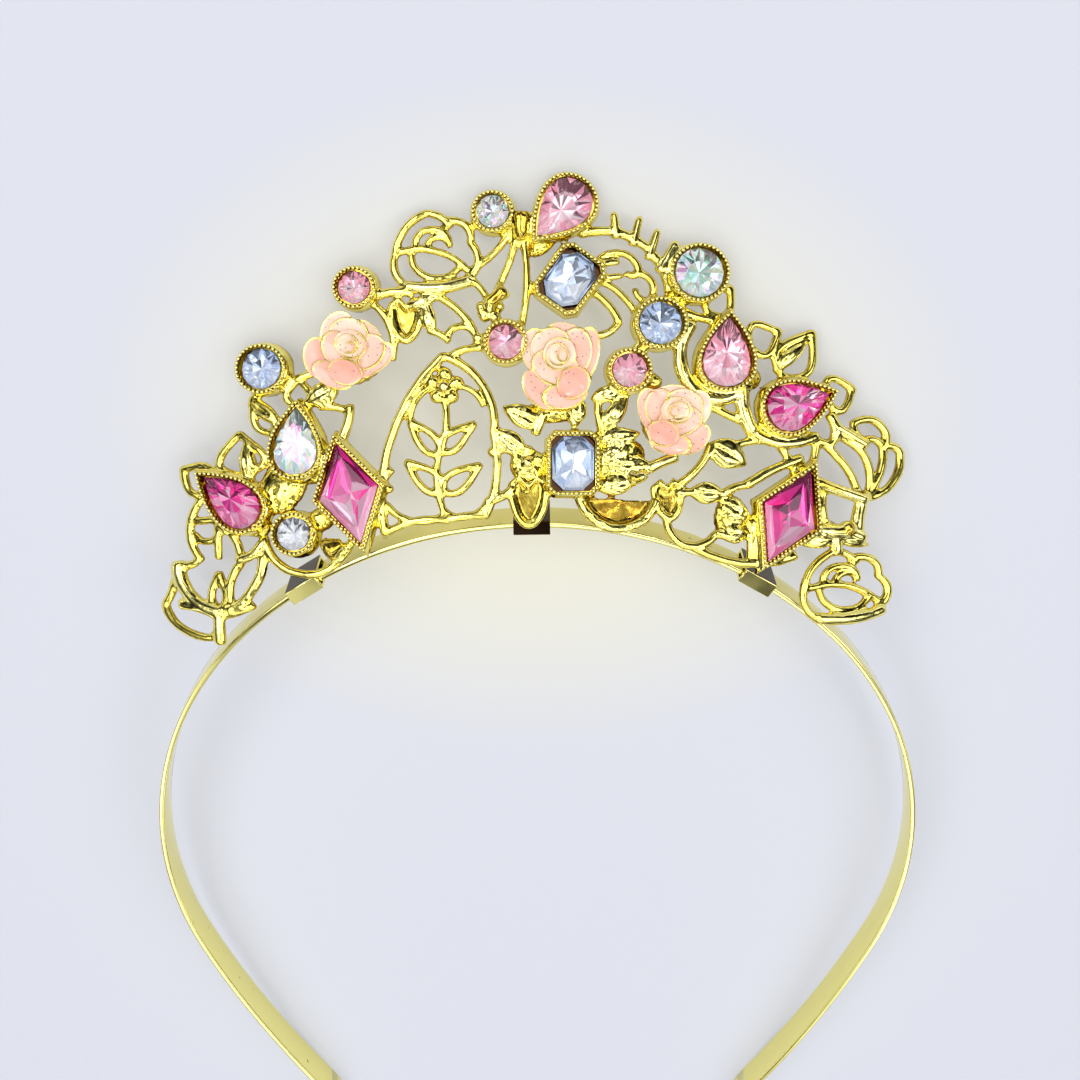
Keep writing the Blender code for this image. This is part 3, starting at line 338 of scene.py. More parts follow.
# Solid webs between the cups: x, y, radius x, radius y, turn in degrees
WEBS = (
    (-38.0, 5.4, 4.6, 3.4, 60),
    (-32.4, 0.4, 2.6, 1.8, 20),
    (-34.6, 8.0, 5.0, 2.4, 0),
    (-41.4, -0.6, 2.0, 1.6, 30),
    (-1.4, 8.6, 2.8, 2.6, 0),
    (1.6, 16.4, 5.0, 1.6, 0),
    (11.8, 9.4, 4.6, 3.2, 20),
    (16.6, 21.0, 2.2, 1.6, 0),
    (21.0, 33.4, 2.0, 1.4, 45),
    (31.6, 21.6, 1.9, 1.9, 0),
    (29.0, 0.6, 2.6, 3.6, 0),
    (42.2, -0.8, 2.6, 1.6, 0),
    (1.0, 41.6, 2.6, 1.2, 40),
)
DISH = (6.3, 3.9, 17.8, 3.2, -4.4)  # x0, y0, x1, y1, bulge of the half-round dish

# Small flowers of round petals: x, y, distance of the petals, petals, petal diameter
FLOWERS = (
    (-13.8, 20.4, 1.9, 5, 2.2),
    (-7.0, 31.9, 1.4, 5, 1.7),
    (-1.4, 9.0, 1.7, 5, 2.0),
)

PRONG_ROOT = 0.12
LEAF_STEPS = 14
LEAF_WIRE = 1.25
BUD_WIRE = 1.2
WEB_TOP = 1.3
WIRE_SIDES = 12
WIRE_OVERRUN = 0.25
WIRE_END = 0.72
WIRE_SWELL = 0.10
WIRE_WANDER = 0.14
WIRE_RISE = 0.22
WIRE_SINK = 0.42  # height of a wire's middle as a share of its diameter
ARC_STEP = math.radians(9)
VOXEL = 0.25
CAST_SHARE = 0.57  # of the casting's triangles that are kept
WAVE_HEIGHT = 0.045
ROUGH_HEIGHT = 0.15


# Flat drawing


def turned(points, degrees, x=0.0, y=0.0):
    """Points turned about the origin and moved to (x, y)."""
    c = math.cos(math.radians(degrees))
    s = math.sin(math.radians(degrees))
    return [(x + px * c - py * s, y + px * s + py * c) for px, py in points]


def arc(x0, y0, x1, y1, bulge):
    """Points of an arc whose middle lies bulge to the left of its chord."""
    chord = math.hypot(x1 - x0, y1 - y0)
    if abs(bulge) < 0.02 * chord:
        return [(x0 + (x1 - x0) * i / 5, y0 + (y1 - y0) * i / 5) for i in range(6)]
    radius = (chord * chord / 4 + bulge * bulge) / (2 * bulge)
    sweep = 4 * math.atan(2 * bulge / chord)
    left = (-(y1 - y0) / chord, (x1 - x0) / chord)
    cx = (x0 + x1) / 2 + left[0] * (bulge - radius)
    cy = (y0 + y1) / 2 + left[1] * (bulge - radius)
    count = max(6, math.ceil(abs(sweep) / ARC_STEP))
    start = math.atan2(y0 - cy, x0 - cx)
    size = abs(radius)
    angles = [start - sweep * i / count for i in range(count + 1)]
    return [(cx + size * math.cos(a), cy + size * math.sin(a)) for a in angles]


def stone_outline(cut, width, length, sides=16, corner_cut=STONE_CORNER_CUT):
    """Outline of a stone, anticlockwise, with its long axis or tip along +y."""
    angles = [math.tau * i / sides for i in range(sides)]
    if cut == "round":
        return [(-width / 2 * math.sin(a), width / 2 * math.cos(a)) for a in angles]
    if cut == "pear":
        return [(-width / 2 / PEAR_WIDEST * math.sin(a) * abs(math.sin(a / 2)),
                 length / 2 * math.cos(a)) for a in angles]
    if cut == "octagon":
        x, y, c = width / 2, length / 2, width * corner_cut
        corners = [(x - c, y), (-x + c, y), (-x, y - c), (-x, -y + c)]
        return corners + [(-px, -py) for px, py in corners]
    return [(0, length / 2), (-width / 2, 0), (0, -length / 2), (width / 2, 0)]


def cup_outline(cut, x, y, width, length, turn):
    """Outline of a stone in its place, nearly square at an octagon's corners as its cup is."""
    outline = stone_outline(cut, width, length, SMOOTH_SIDES, CUP_CORNER_CUT)
    return turned(outline, turn - 90, x, y)


def grown(points, distance):
    """An anticlockwise convex outline moved outwards by distance."""
    result = []
    count = len(points)
    for i, here in enumerate(points):
        before, after = Vector(points[i - 1]), Vector(points[(i + 1) % count])
        here = Vector(here)
        first = (here - before).normalized()
        second = (after - here).normalized()
        outward = Vector((first.y + second.y, -first.x - second.x)).normalized()
        miter = max(0.5, outward.dot(Vector((first.y, -first.x))))
        result.append(tuple(here + outward * distance / miter))
    return result


# Closed shells: each function returns one shell's points and faces, or a list of shells


def lofted(rings):
    """Rings of equal count joined by quads and closed with a face at each end."""
    count = len(rings[0])
    points = [point for ring in rings for point in ring]
    faces = []
    for level in range(len(rings) - 1):
        low, high = level * count, (level + 1) * count
        for i in range(count):
            j = (i + 1) % count
            faces.append((low + i, low + j, high + j, high + i))
    top = (len(rings) - 1) * count
    faces.append(tuple(range(top, top + count)))
    faces.append(tuple(reversed(range(count))))
    return points, faces


def prism(outline, low, high):
    return lofted([[(x, y, z) for x, y in outline] for z in (low, high)])


def wire(points, diameter, end_diameter=None):
    """A round wire with soft ends that rises a little in its middle."""
    first, second, last, before_last = (Vector(points[i]) for i in (0, 1, -1, -2))
    start = first + (first - second).normalized() * WIRE_OVERRUN * diameter
    end = last + (last - before_last).normalized() * WIRE_OVERRUN * diameter
    points = [tuple(start), *points, tuple(end)]
    count = len(points)
    rings = []
    for i, (x, y) in enumerate(points):
        before = Vector(points[max(i - 1, 0)])
        after = Vector(points[min(i + 1, count - 1)])
        along = (after - before).normalized()
        share = i / (count - 1)
        radius = (diameter + (share * (end_diameter - diameter) if end_diameter else 0)) / 2
        radius *= 1 + WIRE_SWELL * noise.noise(Vector((x * 0.35, y * 0.35, 3.0)))
        if i in (0, count - 1):
            radius *= WIRE_END
        x += WIRE_WANDER * noise.noise(Vector((x * 0.30, y * 0.30, 7.0)))
        y += WIRE_WANDER * noise.noise(Vector((x * 0.30, y * 0.30, 11.0)))
        rise = WIRE_RISE * math.sin(math.pi * share)
        ring = []
        for side in range(WIRE_SIDES):
            angle = math.tau * side / WIRE_SIDES
            across = radius * math.cos(angle)
            ring.append((x - along.y * across, y + along.x * across,
                         rise + diameter * WIRE_SINK + radius * math.sin(angle)))
        rings.append(ring)
    return lofted(rings)


def blade(x0, y0, x1, y1, width):
    """A solid pointed leaf, crowned, with a fold along its middle."""
    length = math.hypot(x1 - x0, y1 - y0)
    turn = math.degrees(math.atan2(y1 - y0, x1 - x0))
    steps, sides = 16, 10
    rings = []
    for i in range(steps + 1):
        share = i / steps
        half = width / 2 * max(0.06, math.sin(math.pi * share ** 0.85) ** 0.8)
        lift = 0.35 * math.sin(math.pi * share)
        ring = []
        for j in range(sides + 1):
            v = 2 * j / sides - 1
            crown = 0.95 + lift + 0.65 * (1 - abs(v) ** 1.6) * half / (width / 2)
            crown -= 0.45 * math.exp(-((v / 0.16) ** 2)) * half / (width / 2)
            ring.append((share * length, v * half, crown))
        ring += [(share * length, half * 0.9, 0.05), (share * length, -half * 0.9, 0.05)]
        rings.append([(*turned([(px, py)], turn, x0, y0)[0], z) for px, py, z in ring])
    return lofted(rings)


def leaf_side(x0, y0, x1, y1, half_width):
    """Points from a leaf's base to its pointed tip, widest near the base."""
    points = []
    for i in range(LEAF_STEPS + 1):
        along = i / LEAF_STEPS
        out = half_width * math.sin(math.pi * along ** 0.75) * (1.12 - 0.32 * along)
        across = out / math.hypot(x1 - x0, y1 - y0)
        points.append((x0 + (x1 - x0) * along - (y1 - y0) * across,
                       y0 + (y1 - y0) * along + (x1 - x0) * across))
    return points


def leaf(x0, y0, x1, y1, width, kind):
    if kind == "blade":
        return [blade(x0, y0, x1, y1, width)]
    sides = [leaf_side(x0, y0, x1, y1, half) for half in (width / 2, -width / 2)]
    return [wire(side, LEAF_WIRE) for side in sides]


def bud(x, y, width, height, turn):
    """A tulip bud: a deep cup outline, a zigzag mouth and a thin back."""
    half = width / 2
    cup = [(half * math.cos(a), height * math.sin(a)) for a in [-math.pi * i / 18 for i in range(19)]]
    mouth = [(-half, 0), (-half / 2, 0.2 * height), (0, -0.04 * height),
             (half / 2, 0.2 * height), (half, 0)]
    back = prism(turned(cup[::-1], turn, x, y), 0.1, 0.7)
    return [wire(turned(line, turn, x, y), BUD_WIRE) for line in (cup, mouth)] + [back]


def wire_rose(arcs, x, y, half_width, half_height, turn):
    shells = []
    for x0, y0, x1, y1, bulge, diameter in arcs:
        line = arc(x0, y0, x1, y1, bulge)
        scaled = [(px * half_width, py * half_height) for px, py in line]
        shells.append(wire(turned(scaled, turn, x, y), diameter))
    return shells


def dome(x, y, radius_x, radius_y, turn, low, high):
    """A low rounded mound."""
    sides, levels = 20, 5
    rings = []
    for level in range(levels + 1):
        angle = math.pi / 2 * level / levels * 0.94
        outline = [(radius_x * math.cos(angle) * math.cos(math.tau * i / sides),
                    radius_y * math.cos(angle) * math.sin(math.tau * i / sides)) for i in range(sides)]
        z = low + (high - low) * (0.25 + 0.75 * math.sin(angle)) if level else low
        rings.append([(px, py, z) for px, py in turned(outline, turn, x, y)])
    return lofted(rings)


def flower(x, y, distance, petals, diameter):
    """A ball with round petals about it."""
    shells = [dome(x, y, distance * 0.62, distance * 0.62, 0, 0.05, 2.0)]
    for i in range(petals):
        angle = math.tau * i / petals + 0.3
        px, py = x + distance * math.cos(angle), y + distance * math.sin(angle)
        shells.append(dome(px, py, diameter / 2, diameter / 2, 20 * i, 0.05, 1.45))
    return shells


def cup(cut, x, y, width, length, turn):
    """The outside of a stone's cup: a flared foot, a wall and a rounded rim."""
    outline = cup_outline(cut, x, y, width, length, turn)
    return lofted([[(px, py, z) for px, py in grown(outline, out)] for out, z in CUP_PROFILE])


def openwork_shells():
    shells = [cup(cut, *row) for cut, _, _, *row in STONES]
    for _, x, y, width, height, _, _ in ROSES:
        shells.append(dome(x, y, width / 2 - 0.9, height / 2 - 0.9, 0, 0.0, ROSE_BOSS))
    for x0, y0, x1, y1, bulge, diameter in STRANDS:
        shells.append(wire(arc(x0, y0, x1, y1, bulge), diameter))
    for row in LEAVES:
        shells += leaf(*row)
    for x0, y0, x1, y1, diameter in PRONGS:
        root = (x0 + PRONG_ROOT * (x0 - x1), y0 + PRONG_ROOT * (y0 - y1))
        shells.append(wire([root, (x0, y0), (x1, y1)], diameter * 1.5, diameter * 0.75))
    for row in BUDS:
        shells += bud(*row)
    for row in WIRE_ROSES:
        shells += wire_rose(WIRE_ROSE_ARCS, *row)
    for row in SIDE_ROSES:
        shells += wire_rose(SIDE_ROSE_ARCS, *row)
    for x, y, radius_x, radius_y, turn in WEBS:
        shells.append(dome(x, y, radius_x, radius_y, turn, 0.0, WEB_TOP))
    for row in FLOWERS:
        shells += flower(*row)
    shells.append(prism(arc(*DISH), 0.05, 0.5))
    return shells


def pocket_shells():
    """What is cut from the cups and over the rose backings."""
    shells = []
    for cut, _, _, x, y, width, length, turn in STONES:
        outline = cup_outline(cut, x, y, width, length, turn)
        shells.append(prism(grown(outline, SEAT_GAP), CUP_FLOOR, CUT_TOP))
    for _, x, y, width, height, _, _ in ROSES:
        angles = [math.tau * i / 48 for i in range(48)]
        outline = [(x + (width / 2 - 0.4) * math.cos(a), y + (height / 2 - 0.4) * math.sin(a))
                   for a in angles]
        shells.append(prism(outline, ROSE_BACKING, CUT_TOP))
    return shells


# The bow and the rest pose


def bow_at(x):
    """Angle, depth and growth of the bow at a drawn x."""
    growth = 1.0
    for _ in range(6):
        angle = math.asin(x * growth / BOW_RADIUS)
        depth = BOW_RADIUS * (1 - math.cos(angle))
        growth = 1 + depth / DRAWING_DISTANCE
    return angle, depth, growth


def bowed(x, y, z):
    """Place of a drawn point on the bowed ornament, in millimetres."""
    angle, depth, growth = bow_at(x)
    drawn_y = DRAWING_CENTRE[1] + (y - DRAWING_CENTRE[1]) * growth
    return Vector((x * growth + z * math.sin(angle), drawn_y, z * math.cos(angle) - depth))


def local_frame(x, y):
    """Matrix in metres of the bowed surface at a drawn point, in the rest pose."""
    angle, _, _ = bow_at(x)
    return REST @ Matrix.Translation(bowed(x, y, 0.0) * MM) @ Matrix.Rotation(angle, 4, "Y")


def widened(points, x):
    """Flat points about a place, widened as the bow widens the drawing there."""
    angle, _, growth = bow_at(x)
    return [(px * growth / math.cos(angle), py * growth, *rest) for px, py, *rest in points]


# Meshes and objects


def mesh_of(name, shells, scale=1.0):
    mesh = bpy.data.meshes.new(name)
    form = bmesh.new()
    for points, faces in shells:
        made = [form.verts.new(Vector(point) * scale) for point in points]
        for face in faces:
            form.faces.new([made[i] for i in face])
    bmesh.ops.recalc_face_normals(form, faces=form.faces)
    form.to_mesh(mesh)
    form.free()
    return mesh


def linked(name, data, matrix=None):
    """An object of the data in the scene; a matrix is worked into its mesh."""
    if matrix is not None:
        data.transform(matrix)
    piece = bpy.data.objects.new(name, data)
    bpy.context.scene.collection.objects.link(piece)
    return piece


def marked(mesh, name, values):
    """Gives each vertex a number that its material reads."""
    mesh.attributes.new(name, "FLOAT", "POINT").data.foreach_set("value", values)


def dressed(piece, looks, slot, *nodes):
    """Gives a finished piece its materials and its body, and hides the parts that it stands for; slot is
    not used.
    """
    if looks:
        piece.data.materials.clear()
    for look in looks:
        piece.data.materials.append(look)
    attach(piece, "root")
    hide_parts(*nodes)
    return piece


# Materials


class Look:
    """A material or world with its shader, and shorthands for adding nodes."""

    def __init__(self, name, kind="materials", shader="Principled BSDF"):
        self.block = getattr(bpy.data, kind).new(name)
        self.block.use_nodes = True
        self.tree = self.block.node_tree
        self.shader = self.tree.nodes[shader]

    def set(self, **values):
        for socket, value in values.items():
            self.shader.inputs[socket.replace("_", " ")].default_value = value

    def add(self, kind, inputs=None, **settings):
        node = self.tree.nodes.new(kind)
        for name, value in settings.items():
            setattr(node, name, value)
        for name, value in (inputs or {}).items():
            if isinstance(value, bpy.types.NodeSocket):
                self.tree.links.new(value, node.inputs[name])
            else:
                node.inputs[name].default_value = value
        return node

    def link(self, output, socket):
        self.tree.links.new(output, self.shader.inputs[socket])

    def noise(self, scale, detail=2.0, roughness=0.5):
        place = self.add("ShaderNodeTexCoord").outputs["Object"]
        return self.add("ShaderNodeTexNoise", {"Vector": place, "Scale": scale, "Detail": detail,
                                               "Roughness": roughness}).outputs["Fac"]

    def ramp(self, factor, stops):
        node = self.add("ShaderNodeValToRGB", {"Fac": factor})
        elements = node.color_ramp.elements
        while len(elements) < len(stops):
            elements.new(0.5)
        for element, (place, color) in zip(elements, stops):
            element.position = place
            element.color = (*color, 1.0)
        return node.outputs["Color"]

    def mark(self, name, output="Fac"):
        return self.add("ShaderNodeAttribute", attribute_name=name).outputs[output]

    def computed(self, operation, first, second, clamp=False):
        return self.add("ShaderNodeMath", {0: first, 1: second}, operation=operation,
                        use_clamp=clamp).outputs[0]

    def mixed(self, factor, first, second, blend_type="MIX"):
        return self.add("ShaderNodeMix", {0: factor, 6: first, 7: second}, data_type="RGBA",
                        blend_type=blend_type).outputs[2]

    def mapped(self, factor, low, high):
        return self.add("ShaderNodeMapRange", {"Value": factor, "To Min": low,
                                               "To Max": high}).outputs["Result"]

    def bump(self, height, distance, strength=1.0):
        node = self.add("ShaderNodeBump", {"Height": height, "Distance": distance, "Strength": strength})
        self.link(node.outputs["Normal"], "Normal")


LEMON_GOLD = (0.95, 0.86, 0.30)
GOLD = (0.87, 0.72, 0.12)
# The brown gold is both the dull specks on the sheet and painted shade low in the casting; the dark gold is
# painted shade in the casting's deepest places and a painted dark reflection on the clips.
SPECK_AND_SHADE_GOLD = (0.36, 0.20, 0.02)
PAINTED_DARK_GOLD = (0.04, 0.02, 0.01)
# place in the ramp, colour
PEACH = ((0.1, (0.85, 0.37, 0.26)), (0.5, (0.92, 0.51, 0.38)), (0.9, (0.95, 0.66, 0.48)))
GLITTER = (0.35, 0.17, 0.22)


def cast_gold():
    """Bright lemon plating with painted shade: browner and darker the lower the surface lies between the
    motifs, with random mottling.
    """
    look = Look("cast_gold")
    look.set(Metallic=1.0)
    # Painted shade: the colour follows the marked height, dark and brown low in the casting and pale lemon
    # on the crests, with random mottling added.
    shade_and_mottle = look.computed("ADD", look.mark("high"), look.mapped(look.noise(900, 3), -0.2, 0.2))
    stops = ((0.0, PAINTED_DARK_GOLD), (0.16, SPECK_AND_SHADE_GOLD), (0.42, GOLD), (0.80, LEMON_GOLD))
    look.link(look.ramp(shade_and_mottle, stops), "Base Color")
    look.link(look.mapped(look.noise(1500, 3), 0.04, 0.18), "Roughness")
    look.bump(look.noise(1400, 3), 0.00005, 0.5)
    return look.block


def sheet_gold():
    """Polished sheet metal, slightly wavy, with a few dull specks."""
    look = Look("sheet_gold")
    look.set(Metallic=1.0)
    specks = look.noise(1100, 1)
    look.link(look.ramp(specks, ((0.20, SPECK_AND_SHADE_GOLD), (0.27, LEMON_GOLD))), "Base Color")
    look.link(look.mapped(look.noise(260, 2), 0.03, 0.14), "Roughness")
    look.bump(look.noise(120, 1), 0.0001, 0.2)
    return look.block


def clip_painted_dark_reflection():
    """Polished sheet metal painted near-black as a painted dark reflection of the room."""
    look = Look("clip_painted_dark_reflection")
    look.set(Metallic=1.0, Roughness=0.06, Base_Color=(*PAINTED_DARK_GOLD, 1.0))
    return look.block


def foil(name):
    """Mirror at the back of a stone, coloured by facet with a random tone, painted shade and painted
    highlights, and glowing faintly in that colour as painted light.
    """
    look = Look(name)
    # Faint painted glow in the facet colour, so the foil stays bright behind the glass.
    look.set(Metallic=0.45, Roughness=0.07, Emission_Strength=0.18)
    facet_tone_and_painted_light = look.mark("facet_tone_and_painted_light", "Color")
    look.link(facet_tone_and_painted_light, "Base Color")
    look.link(facet_tone_and_painted_light, "Emission Color")
    return look.block


def crystal(name, color, coating):
    """The clear front of a stone, with a rainbow coating where it has one."""
    look = Look(name)
    look.set(Base_Color=(*color, 1.0), Roughness=0.01, IOR=1.56, Transmission_Weight=1.0)
    look.set(Thin_Film_Thickness=coating, Thin_Film_IOR=1.9)
    return look.block


def enamel():
    """Peach enamel with fine glitter, and gold where the cell lines stand."""
    look = Look("pink_enamel")
    look.set(Coat_Weight=0.6, Coat_Roughness=0.12)
    worn = look.mapped(look.noise(420, 2), -1.2, 2.8)
    line = look.computed("MULTIPLY", look.mark("line"), worn, clamp=True)
    cloudy = look.computed("ADD", look.mark("tint"), look.mapped(look.noise(350, 2), -0.25, 0.25))
    tint = look.ramp(cloudy, PEACH)
    place = look.add("ShaderNodeTexCoord").outputs["Object"]
    grains = look.add("ShaderNodeTexVoronoi", {"Vector": place, "Scale": 1600.0})
    red = look.add("ShaderNodeSeparateColor", {"Color": grains.outputs["Color"]}).outputs["Red"]
    speck = look.computed("LESS_THAN", grains.outputs["Distance"], 0.20)
    chosen = look.computed("GREATER_THAN", red, 0.45)
    specked = look.mixed(look.computed("MULTIPLY", speck, chosen), tint, (*GLITTER, 1.0))
    look.link(look.mixed(line, specked, (*GOLD, 1.0)), "Base Color")
    look.link(line, "Metallic")
    look.link(look.mapped(line, 0.38, 0.16), "Roughness")
    look.bump(look.noise(2600, 2), 0.00004, 0.5)
    return look.block


# colour: front, foil
STONE_COLORS = {
    "pink": ((1.0, 0.96, 0.98), (1.0, 0.50, 0.62)),
    "magenta": ((1.0, 0.88, 0.95), (0.84, 0.06, 0.38)),
    "blue": ((0.97, 0.98, 1.0), (0.62, 0.74, 0.96)),
    "opal": ((1.0, 1.0, 1.0), (1.0, 1.0, 1.0)),
    "clear": ((0.98, 0.99, 1.0), (0.88, 0.91, 0.98)),
}
OPAL_COATING = 420.0
OPAL_TINTS = (
    (0.66, 1.0, 0.82),
    (0.84, 0.78, 1.0),
    (1.0, 0.84, 0.93),
    (0.72, 0.94, 1.0),
    (1.0, 0.96, 0.72),
    (1.0, 1.0, 1.0),
)


# The openwork


def is_rough(x, y):
    """Where the casting is left lumpy: on the webs and in the dish."""
    for wx, wy, radius_x, radius_y, turn in WEBS:
        px, py = turned([(x - wx, y - wy)], -turn)[0]
        if (px / radius_x) ** 2 + (py / radius_y) ** 2 < 1.1:
            return True
    return 7.0 < x < 17.0 and -1.2 < y < 3.6


def painted_shade_height(x, y, z):
    """Painted shade for the gold's colour, given as a height: low in the recesses, in the octagons' pocket
    corners and on the rims under the beads.
    """
    if z > CUP_HEIGHT - 0.35:
        return 0.26
    for cut, _, _, stone_x, stone_y, width, length, turn in STONES:
        if cut == "octagon" and z < CUP_FLOOR + 0.3:
            px, py = turned([(x - stone_x, y - stone_y)], 90 - turn)[0]
            if abs(px) < width / 2 + 0.3 and abs(py) < length / 2 + 0.3:
                return -0.2
    return z / CUP_HEIGHT


def openwork(gold):
    """The casting: motifs fused softly, pockets cut, surface rippled, then bowed."""
    base = linked("openwork_cast", mesh_of("openwork_cast", openwork_shells()))
    fuse = base.modifiers.new("fuse", "REMESH")
    fuse.mode = "VOXEL"
    fuse.voxel_size = VOXEL
    soften = base.modifiers.new("soften", "SMOOTH")
    soften.factor = 0.5
    soften.iterations = 2
    cutter = linked("pockets", mesh_of("pockets", pocket_shells()))
    cut = base.modifiers.new("cut", "BOOLEAN")
    cut.operation = "DIFFERENCE"
    cut.object = cutter
    cut.solver = "MANIFOLD"
    thin = base.modifiers.new("thin", "DECIMATE")
    thin.ratio = CAST_SHARE
    bpy.context.view_layer.update()
    graph = bpy.context.evaluated_depsgraph_get()
    mesh = bpy.data.meshes.new_from_object(base.evaluated_get(graph))
    bpy.data.objects.remove(base)
    bpy.data.objects.remove(cutter)
    moved = []
    for vertex in mesh.vertices:
        x, y, z = vertex.co
        height = WAVE_HEIGHT * noise.noise(Vector((x * 0.7, y * 0.7, z)))
        if is_rough(x, y) and z > 0.5:
            height += ROUGH_HEIGHT * noise.fractal(Vector((x * 1.5, y * 1.5, z + 9.0)), 1.0, 2.0, 3)
        place = REST @ (bowed(*(vertex.co + vertex.normal * height)) * MM)
        place.z = max(0.0, place.z)
        moved.append(place)
    # The gold's painted shade, kept as a height before the casting is bowed.
    marked(mesh, "high", [painted_shade_height(*vertex.co) for vertex in mesh.vertices])
    for vertex, place in zip(mesh.vertices, moved):
        vertex.co = place
    mesh.shade_smooth()
    mesh.set_sharp_from_angle(angle=math.radians(55))
    piece = linked("openwork_cast", mesh)
    return dressed(piece, [gold], "gold_plate", "openwork")


def milgrain(gold):
    """Rows of fine beads round the stones' cups."""
    form = bmesh.new()
    middles = []
    for cut, _, _, x, y, width, length, turn in STONES:
        outline = cup_outline(cut, x, y, width, length, turn)
        path = grown(outline, BEAD_OFFSET)
        path.append(path[0])
        around = sum(math.dist(a, b) for a, b in zip(path, path[1:]))
        count = round(around / BEAD_SPACING)
        spots, walked, target = [], 0.0, 0.0
        for a, b in zip(path, path[1:]):
            step = math.dist(a, b)
            while target <= walked + step and len(spots) < count:
                share = (target - walked) / step
                spots.append((a[0] + (b[0] - a[0]) * share, a[1] + (b[1] - a[1]) * share))
                target += around / count
            walked += step
        for px, py in spots:
            place = bowed(px, py, BEAD_HEIGHT) * MM
            made = bmesh.ops.create_icosphere(form, subdivisions=2, radius=BEAD_RADIUS * MM,
                                              matrix=Matrix.Translation(place))
            middles += [place.z] * len(made["verts"])
    mesh = bpy.data.meshes.new("milgrain")
    form.to_mesh(mesh)
    form.free()
    # Painted shade between the beads: each bead is dark at its foot and bright at its top.
    above = [(v.co.z - z) / (BEAD_RADIUS * MM) for v, z in zip(mesh.vertices, middles)]
    marked(mesh, "high", [min(1.0, max(0.0, 1.25 * rise)) for rise in above])
    mesh.shade_smooth()
    piece = linked("milgrain", mesh, REST)
    return dressed(piece, [gold], "gold_plate", "openwork")


# The stones


def scaled(outline, size, z):
    return [(size * x, size * y, z) for x, y in outline]


def brilliant(outline):
    """Round or pear brilliant, as points and faces; pavilion faces come last."""
    count = len(outline)
    half = count // 2
    crown = TABLE_HEIGHT - GIRDLE_HEIGHT
    girdle = scaled(outline, 1.0, GIRDLE_HEIGHT)
    base = scaled(outline, 1.0, GIRDLE_HEIGHT - GIRDLE)
    kite = scaled(outline[1::2], 0.80, GIRDLE_HEIGHT + CROWN_BREAK * crown)
    table = scaled(outline[::2], 0.55, TABLE_HEIGHT)
    belly = scaled(outline[1::2], 0.46, CULET_HEIGHT + 0.40)
    points = base + girdle + kite + table + belly + [(0.0, 0.0, CULET_HEIGHT)]
    g, k, t, b, culet = count, 2 * count, 2 * count + half, 2 * count + 2 * half, 2 * count + 3 * half
    faces = [tuple(t + i for i in range(half))]
    for i in range(half):
        j, before = (i + 1) % half, (i - 1) % half
        faces.append((t + i, k + i, t + j))
        faces.append((t + i, k + before, g + 2 * i, k + i))
        faces.append((k + i, g + 2 * i, g + 2 * i + 1))
        faces.append((k + i, g + 2 * i + 1, g + (2 * i + 2) % count))
    faces += [(i, (i + 1) % count, g + (i + 1) % count, g + i) for i in range(count)]
    front = len(faces)
    for i in range(half):
        before = (i - 1) % half
        faces.append((2 * i + 1, 2 * i, b + i))
        faces.append(((2 * i + 2) % count, 2 * i + 1, b + i))
        faces.append((b + i, 2 * i, b + before, culet))
    return points, faces, front


def step_cut(outline, width):
    """Octagon or rhombus with stepped facets; pavilion faces come last."""
    step = width * 0.1
    crown = TABLE_HEIGHT - GIRDLE_HEIGHT
    depth = GIRDLE_HEIGHT - GIRDLE - CULET_HEIGHT
    ridge = 0.35 if len(outline) == 8 else 0.10
    longest = max(y for _, y in outline)
    keel = [(0.06 * x, ridge * max(-longest, min(longest, y))) for x, y in outline]
    rings = (
        (grown(outline, -2 * step), TABLE_HEIGHT),
        (grown(outline, -step), GIRDLE_HEIGHT + crown * CROWN_BREAK),
        (outline, GIRDLE_HEIGHT),
        (outline, GIRDLE_HEIGHT - GIRDLE),
        (grown(outline, -1.3 * step), CULET_HEIGHT + depth * 0.52),
        (keel, CULET_HEIGHT),
    )
    count = len(outline)
    points = [(x, y, z) for ring, z in rings for x, y in ring]
    faces = [tuple(range(count))]
    for level in range(len(rings) - 1):
        if level == 3:
            front = len(faces)
        for i in range(count):
            j = (i + 1) % count
            high, low = level * count, (level + 1) * count
            faces.append((high + j, high + i, low + i, low + j))
    faces.append(tuple(reversed(range(5 * count, 6 * count))))
    return points, faces, front


def poked(points, faces, front, chance):
    """Split the pavilion's facets round a centre that stands a little off them."""
    points, split = list(points), list(faces[:front])
    for face in faces[front:]:
        middle = [sum(points[corner][axis] for corner in face) / len(face) for axis in range(3)]
        centre = len(points)
        points.append((middle[0], middle[1], middle[2] + chance.choice((-FACET_RISE, FACET_RISE))))
        split += [(corner, face[(i + 1) % len(face)], centre) for i, corner in enumerate(face)]
    return points, split


